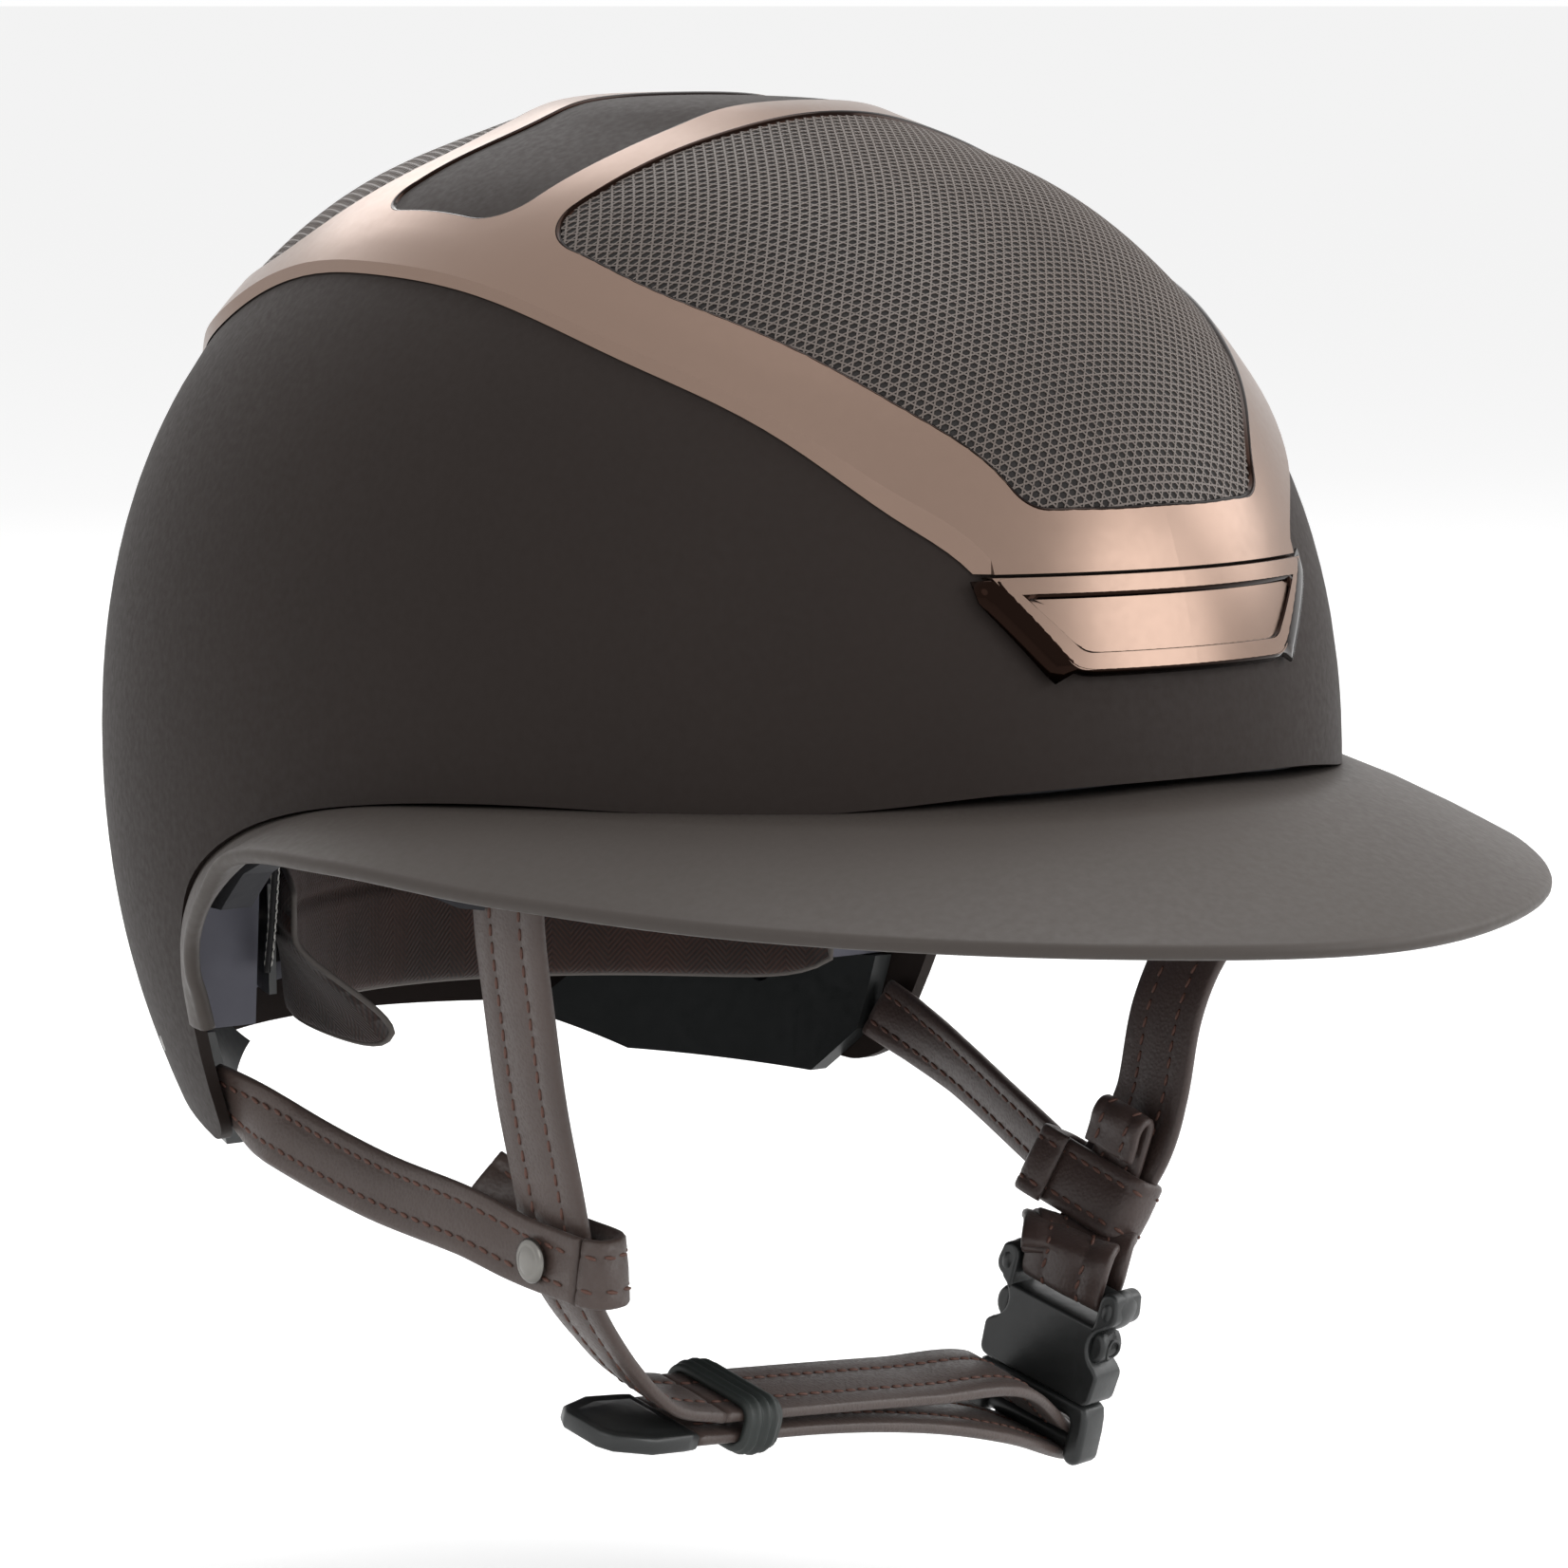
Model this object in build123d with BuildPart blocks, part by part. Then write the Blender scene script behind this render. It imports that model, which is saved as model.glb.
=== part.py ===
from build123d import *
import os
from math import cos, radians, sin, sqrt

os.makedirs("parts", exist_ok=True)

# Frame: +Z up, the wearer looks along -Y, +X is the wearer's left.
# The origin is the centre of the head opening, level with the brim's root.

# ---- shell: a full ellipse in plan, a fuller-than-round arch in height ----
shell_half_width = 108.5
shell_half_length = 140.0
crown_height = 125.5
arch_power = 2.15            # 2 is an ellipse, more is squarer
skirt_depth = 152.0          # half axis of the ellipse that the skirt follows below the rim
shell_wall = 3.0
dome_floor = -95.0           # where the raw dome is cut off before its rim is trimmed

# ---- head cavity ----
cavity_half_width = 84.0     # its length follows the shell's oval
cavity_height = 99.0
liner_gap = 0.3              # clearance between curved layers
lining_thickness = 5.0

# ---- rim, seen from the side: (y, z) from brow to nape ----
brow_height = 4.4
rim_line = [(-118, 0.8), (-70, -0.4), (-24, -3.2), (7, -10.1), (29, -21.7), (38, -36)]
ear_arch_y = 41.0
nape_corner_z = -78.0
nape_corner_y = 50.0
nape_slope_y = 105.0
nape_slope_z = -68.0
nape_back_z = -62.0
nape_corner_radius = 5.0

# ---- vent frame, plates and grilles ----
frame_stand_off = 1.9
plate_stand_off = 2.4
inlay_stand_off = 1.3
grille_stand_off = 1.1
outline_gap = 0.3            # between neighbours within the frame
grille_ledge = 4.0           # shell left under the edge of each grille
frame_front_z = 43.0
frame_back_z = 45.0
plate_gap = 0.6
plate_bottom_z = 25.6
plate_half_top = 38.5
plate_half_bottom = 26.0
plate_corner = 4.0
plate_recess = 0.6
plate_border = 3.0
window_tilt = 32.1           # slope of both vents' drawing planes, in the round space

# ---- brim ----
brim_length = 55.0           # beyond the shell at the brow
brim_thickness = 3.2
brim_edge_half_width = 127.0
brim_root_gap = 0.3
brim_drop = 20.0             # of the tip below the rim
brim_steps = 28

# ---- lower rim moulding that hides the front strap slots ----
rim_moulding_depth = 21.0
rim_moulding_outer = -3.3
rim_moulding_inner = -10.5

# ---- harness ----
strap_width = 20.0
rear_strap_width = 13.0
strap_thickness = 2.4
slot_clearance = 0.6
front_slot_x = 94.5
front_slot_y = -56.0
front_slot_depth = 12.0

# ---- buckle ----
buckle_width = 28.0
buckle_thickness = 9.0
female_length = 25.0
ear_length = 7.4             # the two ears that carry the strap bar
upper_bar_down = 2.3
bar_radius = 1.6
cavity_width = 21.6
cavity_thickness = 5.2
window_down = 13.0
window_depth = 4.0
window_length = 10.0
male_base_length = 3.0
buckle_gap = 0.3
prong_length = 16.5
prong_width = 3.2
prong_thickness = 4.4
guide_width = 4.0

# ---- keepers, loops and studs ----
keeper_length = 9.5
keeper_place = 9.0           # along the strap from the end of the front strap
keeper_wall = 2.2
keeper_clearance = 0.4
strand_gap = 2.0             # between the two strands of the chin strap
tab_length = 22.0
tab_thickness = 3.4
loop_length = 29.0
loop_height = 14.0
loop_thickness = 10.0
strap_end_height = 11.0       # the rolled end that stands above the loop, before the front strap
strap_end_thickness = 3.6
strap_end_out = 5.9           # from the loop's middle plane to the middle of the rolled end
strap_end_gap = 0.4
stud_radius = 1.6
stud_gap = 0.6
stud_length = 12.1           # it ends inside the strap that snaps onto it
snap_cap_radius = 4.4

# ---- cradle behind the head ----
cradle_gap = 5.2             # between the cradle and the foam
cradle_thickness = 4.0
cradle_top = -24.0
cradle_bottom = -60.0
cradle_front_y = 46.0
yoke_gap = 2.6
yoke_thickness = 1.6
yoke_top = -28.0
yoke_bottom = -50.0
pin_radius = 2.5
pin_running_gap = 0.05
pin_y = 62.0
pin_z = -34.0
pin_length = 14.0

nape_trim_thickness = 4.5
nape_trim_top = -56.0
air_slot_width = 9.0

rivet_stand = 3.0
rivet_sink = 3.5
rivet_seat = 0.1
rivet_length = 9.0
rivet_radius = 3.4
rivet_shank = 1.6
rivet_y = 72.0
rivet_z = -61.0


# ---- shared shapes ----
# Everything that follows the shell is modelled round, as a revolved half, then mirrored and
# stretched lengthways into its oval. short() takes a true y into that round space.
stretch = shell_half_length / shell_half_width
far = 200.0


def short(y):
    return y / stretch


def arch_share(z, height):
    """Half width at height z as a share of the half width at the rim."""
    if z < 0:
        return sqrt(1 - (z / skirt_depth) ** 2)
    return (1 - (z / height) ** arch_power) ** (1 / arch_power)


def half_profile(half_width, height, straight=False):
    """One half profile from the floor to the top, straight-sided or with the shell's skirt."""
    levels = [0.0, 0.30, 0.55, 0.75, 0.88, 0.96]
    arch = [(half_width * arch_share(k * height, height), k * height) for k in levels]
    skirt_levels = (1, 0.5)
    skirt = [(half_width * arch_share(dome_floor * k, height), dome_floor * k) for k in skirt_levels]
    lean = (0.5, 1)
    if straight:
        skirt = [(half_width, dome_floor * k) for k in skirt_levels]
        lean = (0, 1)
    return Spline(*skirt, *arch, (0, height), tangents=[lean, (-1, 0)])


def half_solid(half_width, height, straight=False):
    """The left half of a form, closed flat at the floor."""
    with BuildPart() as body:
        with BuildSketch(Plane.YZ):
            with BuildLine():
                arch = half_profile(half_width, height, straight)
                Polyline(arch @ 1, (0, dome_floor), arch @ 0)
            make_face()
        revolve(axis=Axis.Z, revolution_arc=-180)
    return body.part


def half_layer(half_width, height, thickness, straight=False):
    """The left half of a layer whose outside has the given size."""
    with BuildPart() as body:
        with BuildSketch(Plane.YZ):
            with BuildLine():
                over = half_profile(half_width, height, straight)
                under = half_profile(half_width - thickness, height - thickness, straight)
                Line(over @ 0, under @ 0)
                Line(over @ 1, under @ 1)
            make_face()
        revolve(axis=Axis.Z, revolution_arc=-180)
    return body.part


def skin(inner, outer):
    """The left half of a layer between two offsets from the shell's face."""
    return half_layer(shell_half_width + outer, crown_height + outer, outer - inner)


def lining(gap, thickness):
    """The left half of a layer against the cavity's wall."""
    return half_layer(cavity_half_width - gap, cavity_height - gap, thickness, True)


side_plane = Plane.YZ
front_plane = Plane(origin=(0, 0, 0), x_dir=(1, 0, 0), z_dir=(0, -1, 0))
tilt = radians(window_tilt)
front_vent_plane = Plane(origin=(0, 0, 0), x_dir=(1, 0, 0), z_dir=(0, -sin(tilt), cos(tilt)))
rear_vent_plane = Plane(origin=(0, 0, 0), x_dir=(-1, 0, 0), z_dir=(0, sin(tilt), cos(tilt)))


def side_outline(rise):
    """Everything above the shell's rim, raised and drawn back by a margin."""
    start = (-far, brow_height + rise)
    brow = (-shell_half_width, brow_height + rise)
    rim = [(short(y + rise if y > 20 else y), z + rise) for y, z in rim_line]
    with BuildPart() as body:
        with BuildSketch(side_plane):
            with BuildLine():
                Line(start, brow)
                Spline(brow, *rim, tangents=[(1, -0.1), (0.3, -1)])
                foot = FilletPolyline(rim[-1], (short(ear_arch_y + 3 + rise), nape_corner_z + 3 + rise),
                                      (short(nape_corner_y + rise), nape_corner_z + rise),
                                      (short(nape_slope_y), nape_slope_z + rise), radius=nape_corner_radius)
                Polyline(foot @ 1, (far, nape_back_z + rise), (far, far), (-far, far), start)
            make_face()
        extrude(amount=far)
    return body.part


def front_window(inset):
    """Through-cut of the front vent, square to its drawing plane."""
    with BuildPart() as body:
        with BuildSketch(front_vent_plane):
            with BuildLine():
                foot = Spline((0, -57.7), (12, -57.2), (24, -55.2), tangents=[(1, 0), (1, 0.18)])
                heel = ThreePointArc(foot @ 1, (28.4, -53.2), (31, -49))
                side = Spline(heel @ 1, (41.2, -34.5), (54.2, -12.7), (61.2, 1.8), (66, 25),
                              tangents=[(0.5, 1), (0.05, 1)])
                top = ThreePointArc(side @ 1, (64.6, 33), (58, 36.8))
                Spline(top @ 1, (43, 39.2), (0, 41), tangents=[(-1, 0.15), (-1, 0)])
                mirror(about=Plane.YZ)
            make_face()
            if inset:
                offset(amount=-inset, kind=Kind.ARC)
        extrude(amount=far)
    return body.part


def rear_window(inset):
    """Through-cut of the rear vent, square to its drawing plane."""
    with BuildPart() as body:
        with BuildSketch(rear_vent_plane):
            with BuildLine():
                brow = Spline((0, 51.3), (28, 49.4), (45, 46.2), tangents=[(1, 0), (1, -0.4)])
                side = Spline(brow @ 1, (57.3, 35.4), (64.5, 18), (55.5, -5.5), (42, -25), (28, -40),
                              tangents=[(1, -0.5), (-0.8, -1)])
                heel = ThreePointArc(side @ 1, (24, -45), (17, -47.6))
                Spline(heel @ 1, (0, -49), tangents=[(-1, -0.1), (-1, 0)])
                mirror(about=Plane.YZ)
            make_face()
            if inset:
                offset(amount=-inset, kind=Kind.ARC)
        extrude(amount=far)
    return body.part


def crown_outline(inset):
    """Through-cut of the panel between the vents, seen from above."""
    with BuildPart() as body:
        with BuildSketch(Plane.XY):
            with BuildLine():
                brow = Spline((0, short(-29)), (25, short(-26.6)), (47, short(-24)), (59, short(-21.5)),
                              tangents=[(1, 0), (1, 0.2)])
                corner = ThreePointArc(brow @ 1, (64.6, short(-18)), (67, short(-11)))
                side = Line(corner @ 1, (65.6, short(15)))
                back = ThreePointArc(side @ 1, (63.4, short(19.4)), (57, short(19.6)))
                Spline(back @ 1, (39, short(13)), (0, short(9)), tangents=[(-1, -0.2), (-1, 0)])
                mirror(about=Plane.YZ)
            make_face()
            if inset:
                offset(amount=-inset, kind=Kind.ARC)
        extrude(amount=far)
    return body.part


def frame_outline():
    """The left half of the vent frame's outline, seen from above, with its two cut ends."""
    wide = plate_half_top - 1
    with BuildPart() as body:
        with BuildSketch(Plane.XY.offset(frame_front_z)):
            with BuildLine():
                run = Polyline((0, -far), (wide, -far), (wide, short(-126)))
                side = Spline(run @ 1, (49.5, short(-113)), (62, short(-91)), (72.4, short(-62)),
                              (76.6, short(-25)), (76.2, short(8)), (73, short(33)), (69, short(57)),
                              (61.5, short(82)), (48, short(104)), (31, short(121)),
                              tangents=[(1.1, 1), (-1, 0.6)])
                Polyline(side @ 1, (24, far), (0, far), (0, -far))
            make_face()
        extrude(amount=far)
        with Locations((0, far, frame_front_z)):
            Box(2 * far, 2 * far, 2 * (frame_back_z - frame_front_z), mode=Mode.SUBTRACT)
    return body.part


def plate_outline(inset):
    """The brow plate's trapezium, cut from the front."""
    top = frame_front_z - plate_gap - inset
    bottom = plate_bottom_z + inset
    half_top = plate_half_top - 1.5 * inset
    half_bottom = plate_half_bottom - 0.6 * inset
    with BuildPart() as body:
        with BuildSketch(front_plane):
            with BuildLine():
                FilletPolyline((0, bottom), (half_bottom, bottom), (half_top, top), radius=plate_corner)
                Polyline((half_top, top), (0, top), (0, bottom))
            make_face()
        extrude(amount=far)
    return body.part


def cross_hole(radius, length, centre):
    """A hole along X that comes out round once the part is stretched."""
    x, y, z = centre
    with BuildPart() as body:
        with BuildSketch(Plane(origin=(x, short(y), z), x_dir=(0, 1, 0), z_dir=(1, 0, 0))):
            Ellipse(short(radius), radius)
        extrude(amount=length / 2, both=True)
    return body.part


def strap_stations(route):
    """A plane across the strap at each (centre, width direction) of its route."""
    centres = [Vector(*centre) for centre, across in route]
    planes = []
    for i, (centre, across) in enumerate(route):
        before = centres[max(i - 1, 0)]
        after = centres[min(i + 1, len(centres) - 1)]
        planes.append(Plane(origin=centre, x_dir=across, z_dir=(after - before).normalized()))
    return planes


def strap(route, width, thickness):
    """A flat strap along its route."""
    with BuildPart() as body:
        for station in strap_stations(route):
            with BuildSketch(station):
                Rectangle(width, thickness)
        loft(ruled=True)
    return body.part


def finish(builder, label):
    builder.part.label = label
    export_step(builder.part, f"parts/{label}.step")


# ---- outer shell ----
with BuildPart() as outer_shell:
    add(skin(-shell_wall, 0))
    add(side_outline(0), mode=Mode.INTERSECT)
    add(front_window(grille_ledge), mode=Mode.SUBTRACT)
    add(rear_window(grille_ledge), mode=Mode.SUBTRACT)
    add(cross_hole(rivet_shank + pin_running_gap, far, (far / 2, rivet_y, rivet_z)), mode=Mode.SUBTRACT)
    mirror(about=Plane.YZ)
    scale(by=(1, stretch, 1))
finish(outer_shell, "outer_shell")

# ---- vent frame, its grilles, inlay and plate ----
with BuildPart() as vent_frame:
    add(skin(liner_gap, frame_stand_off))
    add(frame_outline(), mode=Mode.INTERSECT)
    add(front_window(0), mode=Mode.SUBTRACT)
    add(rear_window(0), mode=Mode.SUBTRACT)
    add(crown_outline(0), mode=Mode.SUBTRACT)
    mirror(about=Plane.YZ)
    scale(by=(1, stretch, 1))
finish(vent_frame, "vent_frame")

with BuildPart() as front_mesh:
    add(skin(liner_gap, grille_stand_off))
    add(front_window(outline_gap), mode=Mode.INTERSECT)
    mirror(about=Plane.YZ)
    scale(by=(1, stretch, 1))
finish(front_mesh, "front_mesh")

with BuildPart() as rear_mesh:
    add(skin(liner_gap, grille_stand_off))
    add(rear_window(outline_gap), mode=Mode.INTERSECT)
    mirror(about=Plane.YZ)
    scale(by=(1, stretch, 1))
finish(rear_mesh, "rear_mesh")

with BuildPart() as crown_panel:
    add(skin(liner_gap, inlay_stand_off))
    add(crown_outline(outline_gap), mode=Mode.INTERSECT)
    mirror(about=Plane.YZ)
    scale(by=(1, stretch, 1))
finish(crown_panel, "crown_panel")

with BuildPart() as plate_field:
    add(skin(plate_stand_off - plate_recess, plate_stand_off + 2))
    add(plate_outline(plate_border), mode=Mode.INTERSECT)

with BuildPart() as front_plate:
    add(skin(liner_gap, plate_stand_off))
    add(plate_outline(0), mode=Mode.INTERSECT)
    add(plate_field.part, mode=Mode.SUBTRACT)
    mirror(about=Plane.YZ)
    scale(by=(1, stretch, 1))
finish(front_plate, "front_plate")

# ---- brim: cross-sections from the brow round to the foot of the ear arch ----
# each is its root on the shell and its edge, as (x, y, z)
brim_tip = shell_half_length + brim_length
brim_sections = [
    ((0, -138.5, 2.9), (0, -brim_tip, -brim_drop)),
    ((36, -130, 1.6), (0.43 * brim_edge_half_width, -0.905 * brim_tip, -18.5)),
    ((66, -109, 0.2), (0.765 * brim_edge_half_width, -0.675 * brim_tip, -16.5)),
    ((87, -81, -0.6), (0.935 * brim_edge_half_width, -0.42 * brim_tip, -13.5)),
    ((100, -50, -1.8), (0.995 * brim_edge_half_width, -0.205 * brim_tip, -10.5)),
    ((106, -22, -4.0), (0.96 * brim_edge_half_width, -0.02 * brim_tip, -13)),
    ((107.4, 2, -9.5), (116.5, 15, -24)),
    ((106.5, 20, -17.5), (109.5, 31.5, -37)),
    ((103.5, 34, -34), (104.8, 37.5, -52)),
]
root_guide = Spline(*[(x, short(y), z) for (x, y, z), edge in brim_sections])
edge_guide = Spline(*[(x, short(y), z) for root, (x, y, z) in brim_sections], tangents=[(1, 0, 0), (0, 0.1, -1)])
brim_radius = brim_thickness / 2
with BuildPart() as brim:
    for i in range(brim_steps + 1):
        root = root_guide @ (i / brim_steps)
        edge = edge_guide @ (i / brim_steps)
        outward = (edge - root).normalized()
        reach = (edge - root).length
        with BuildSketch(Plane(origin=root, x_dir=outward, z_dir=outward.cross(Vector(0, 0, 1)))):
            with BuildLine():
                over = Line((-2, 0), (reach - brim_radius, 0))
                tip = ThreePointArc(over @ 1, (reach, -brim_radius), (reach - brim_radius, -brim_thickness))
                under = Line(tip @ 1, (-2, -brim_thickness))
                Line(under @ 1, over @ 0)
            make_face()
    loft(ruled=True)
    add(half_solid(shell_half_width + brim_root_gap, crown_height), mode=Mode.SUBTRACT)
    mirror(about=Plane.YZ)
    scale(by=(1, stretch, 1))
finish(brim, "brim")

# ---- lower rim moulding: under the shell's edge round the brow and temples ----
moulding_profile = [(-far, -14), (-78, -rim_moulding_depth), (-46, -rim_moulding_depth), (-24, -15),
                    (2, -15), (14, -20), (24, -28), (34, -28), (20, -12), (-8, -2.5), (-60, 3), (-far, 6)]
slot_width = strap_thickness + 2 * slot_clearance
slot_length = strap_width + 2 * slot_clearance
with BuildPart() as rim_moulding:
    add(skin(rim_moulding_inner, rim_moulding_outer))
    with BuildSketch(side_plane):
        with BuildLine():
            Polyline(*[(short(y), z) for y, z in moulding_profile], close=True)
        make_face()
    extrude(amount=far, mode=Mode.INTERSECT)
    with Locations((front_slot_x, short(front_slot_y), -front_slot_depth)):
        Box(slot_width, short(slot_length), 26, mode=Mode.SUBTRACT)
    mirror(about=Plane.YZ)
    scale(by=(1, stretch, 1))
finish(rim_moulding, "rim_moulding")

# ---- foam liner with air slots under both grilles ----
with BuildPart() as foam_liner:
    add(half_solid(shell_half_width - shell_wall - liner_gap, crown_height - shell_wall - liner_gap))
    add(half_solid(cavity_half_width, cavity_height, True), mode=Mode.SUBTRACT)
    add(side_outline(9), mode=Mode.INTERSECT)
    with BuildSketch(front_vent_plane):
        with Locations((12, -12), (36, -6)):
            SlotOverall(62, air_slot_width, rotation=90)
    extrude(amount=far, mode=Mode.SUBTRACT)
    with BuildSketch(rear_vent_plane):
        with Locations((12, 4), (34, 10)):
            SlotOverall(52, air_slot_width, rotation=90)
    extrude(amount=far, mode=Mode.SUBTRACT)
    with Locations((0, 0, nape_trim_top + liner_gap)):
        Box(3 * far, 3 * far, far, align=(Align.CENTER, Align.CENTER, Align.MAX), mode=Mode.SUBTRACT)
    add(cross_hole(pin_radius, far, (far / 2, pin_y, pin_z)), mode=Mode.SUBTRACT)
    mirror(about=Plane.YZ)
    scale(by=(1, stretch, 1))
finish(foam_liner, "foam_liner")

# ---- comfort lining on the cavity's wall ----
pad_top = 44.0
pad_bottom = 16.0
pad_middle = (pad_top + pad_bottom) / 2
with BuildPart() as brow_pad:
    add(lining(liner_gap, lining_thickness))
    with Locations((0, -far, pad_middle)):
        Box(2 * far, 2 * far - 2 * short(22), pad_top - pad_bottom, mode=Mode.INTERSECT)
    mirror(about=Plane.YZ)
    scale(by=(1, stretch, 1))
finish(brow_pad, "brow_pad")

with BuildPart() as side_pad_left:
    add(lining(liner_gap, lining_thickness))
    with Locations((cavity_half_width, short(34), pad_middle)):
        Box(70, short(100), pad_top - pad_bottom, mode=Mode.INTERSECT)
    scale(by=(1, stretch, 1))
finish(side_pad_left, "side_pad_left")

with BuildPart() as side_pad_right:
    add(side_pad_left.part.mirror(Plane.YZ))
finish(side_pad_right, "side_pad_right")

with BuildPart() as crown_pad:
    add(lining(liner_gap, lining_thickness))
    with BuildSketch(Plane.XY.offset(cavity_height - 45)):
        Ellipse(38, short(50))
        Ellipse(24, short(34), mode=Mode.SUBTRACT)
        Rectangle(14, short(90))
        Rectangle(70, short(16))
    extrude(amount=60, mode=Mode.INTERSECT)
    mirror(about=Plane.YZ)
    scale(by=(1, stretch, 1))
finish(crown_pad, "crown_pad")

# ---- mouldings inside the nape corners, with the rivets that hold them ----
trim_face = -shell_wall - liner_gap
trim_profile = [(49, nape_trim_top), (49, -71), (56, -80), (90, -77), (106, -69), (100, nape_trim_top)]
with BuildPart() as nape_trim_left:
    add(skin(trim_face - nape_trim_thickness, trim_face))
    with BuildSketch(side_plane):
        with BuildLine():
            Polyline(*[(short(y), z) for y, z in trim_profile], close=True)
        make_face()
    extrude(amount=far, mode=Mode.INTERSECT)
    add(cross_hole(rivet_shank + pin_running_gap, far, (far / 2, rivet_y, rivet_z)), mode=Mode.SUBTRACT)
    scale(by=(1, stretch, 1))
finish(nape_trim_left, "nape_trim_left")

with BuildPart() as nape_trim_right:
    add(nape_trim_left.part.mirror(Plane.YZ))
finish(nape_trim_right, "nape_trim_right")

rivet_share = sqrt(arch_share(rivet_z, crown_height) ** 2 - (rivet_y / shell_half_length) ** 2)
rivet_x = shell_half_width * rivet_share
with BuildPart() as nape_rivets:
    with BuildSketch(Plane(origin=(rivet_x - rivet_sink, short(rivet_y), rivet_z), x_dir=(0, 1, 0), z_dir=(1, 0, 0))):
        Ellipse(short(rivet_radius), rivet_radius)
    extrude(amount=rivet_sink + rivet_stand, taper=8)
    add(half_solid(shell_half_width + rivet_seat, crown_height), mode=Mode.SUBTRACT)
    add(cross_hole(rivet_shank, rivet_length, (rivet_x - rivet_sink, rivet_y, rivet_z)))
    mirror(about=Plane.YZ)
    scale(by=(1, stretch, 1))
finish(nape_rivets, "nape_rivets")

# ---- self-adapting cradle behind the head: padded band, stiff yoke and its two pins ----
cradle_face = cavity_half_width - cradle_gap
pin_share = sqrt(1 - ((pin_y - pin_radius) / (cradle_face * stretch)) ** 2)
with BuildPart() as nape_cradle:
    add(lining(cradle_gap, cradle_thickness))
    with Locations((0, short(cradle_front_y), cradle_bottom)):
        Box(2 * far, far, cradle_top - cradle_bottom, align=(Align.CENTER, Align.MIN, Align.MIN),
            mode=Mode.INTERSECT)
    mirror(about=Plane.YZ)
    scale(by=(1, stretch, 1))
finish(nape_cradle, "nape_cradle")

with BuildPart() as cradle_yoke:
    add(lining(yoke_gap, yoke_thickness))
    with Locations((0, short(cradle_front_y + 4), yoke_bottom)):
        Box(2 * far, far, yoke_top - yoke_bottom, align=(Align.CENTER, Align.MIN, Align.MIN),
            mode=Mode.INTERSECT)
    add(cross_hole(pin_radius + pin_running_gap, far, (far / 2, pin_y, pin_z)), mode=Mode.SUBTRACT)
    mirror(about=Plane.YZ)
    scale(by=(1, stretch, 1))
finish(cradle_yoke, "cradle_yoke")

pin_inner = cradle_face * pin_share + liner_gap
with BuildPart() as cradle_pins:
    for side in (-1, 1):
        with Locations(Plane(origin=(side * pin_inner, pin_y, pin_z), z_dir=(side, 0, 0))):
            Cylinder(pin_radius - pin_running_gap, pin_length, align=(Align.CENTER, Align.CENTER, Align.MIN))
finish(cradle_pins, "cradle_pins")

# ---- right side of the harness ----
fore_aft = (0, 1, 0)
chin_lean = (0, 0.966, 0.259)
right_front_route = [
    ((-front_slot_x, front_slot_y, -front_slot_depth), fore_aft),
    ((-94.2, -56.3, -24), fore_aft),
    ((-92, -56, -38), fore_aft),
    ((-88.4, -55.3, -57), fore_aft),
    ((-84.4, -54.8, -73), fore_aft),
    ((-82, -54.5, -83), fore_aft),
    ((-79.6, -54.3, -93), (0.1, 0.99, 0)),
    ((-70, -53.8, -106), (0.15, 0.97, 0.1)),
    ((-58, -52, -116), (0.1, 0.97, 0.22)),
    ((-46, -50, -119.2), chin_lean),
]
stud_place = Vector(-82.2, -55.0, -87)
with BuildPart() as right_front_strap:
    add(strap(right_front_route, strap_width, strap_thickness))
    with Locations(Plane(origin=stud_place, z_dir=(1, 0, 0))):
        Cylinder(stud_radius + stud_gap, 10, mode=Mode.SUBTRACT)
finish(right_front_strap, "right_front_strap")

right_rear_route = [
    ((-84.6, 47.2, -67.8), (-0.35, 0.05, 0.93)),
    ((-86.2, 25.2, -73.5), (0.5, 0.1, 0.86)),
    ((-87.2, -5.2, -79.2), (0.5, 0.1, 0.86)),
    ((-87.6, -34.9, -82.6), (0.2, 0.1, 0.97)),
    ((-86.4, -50, -86), (0.05, 0.1, 1)),
    ((-85.8, -66, -88), (0, 0.1, 1)),
]
with BuildPart() as right_rear_strap:
    add(strap(right_rear_route, rear_strap_width, strap_thickness))
    with Locations(Plane(origin=stud_place, z_dir=(1, 0, 0))):
        Cylinder(stud_radius + stud_gap, 14, mode=Mode.SUBTRACT)
finish(right_rear_strap, "right_rear_strap")

# the strap's end, folded round the front strap and snapped on from the inside
snap_tail_route = [
    ((-85.6, -66.5, -88), (0, 0.1, 1)),
    ((-84.4, -68.9, -88.3), (0, 0.1, 1)),
    ((-82.0, -70.0, -88.4), (0, 0.1, 1)),
    ((-78.6, -69.4, -88.2), (0, 0.1, 1)),
    ((-76.0, -65.6, -87.8), (0, 0.1, 1)),
    ((-75.2, -52, -86.6), (0, 0.1, 1)),
    ((-75.6, -42, -84), (0, 0.2, 1)),
    ((-77.2, -34, -79), (0, 0.5, 0.86)),
    ((-79.9, -29, -75.5), (0, 0.6, 0.8)),
]
with BuildPart() as snap_tail:
    add(strap(snap_tail_route, rear_strap_width, strap_thickness))
    with Locations(Plane(origin=stud_place, z_dir=(1, 0, 0))):
        Cylinder(stud_radius + stud_gap, 20, mode=Mode.SUBTRACT)
finish(snap_tail, "snap_tail")

with BuildPart() as snap_cap:
    with Locations(Plane(origin=(-88.0, stud_place.Y, stud_place.Z), z_dir=(-1, 0, 0))):
        Cone(snap_cap_radius, 0.7 * snap_cap_radius, 1.4, align=(Align.CENTER, Align.CENTER, Align.MIN))
        Cylinder(stud_radius, stud_length, align=(Align.CENTER, Align.CENTER, Align.MAX))
finish(snap_cap, "snap_cap")

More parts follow.
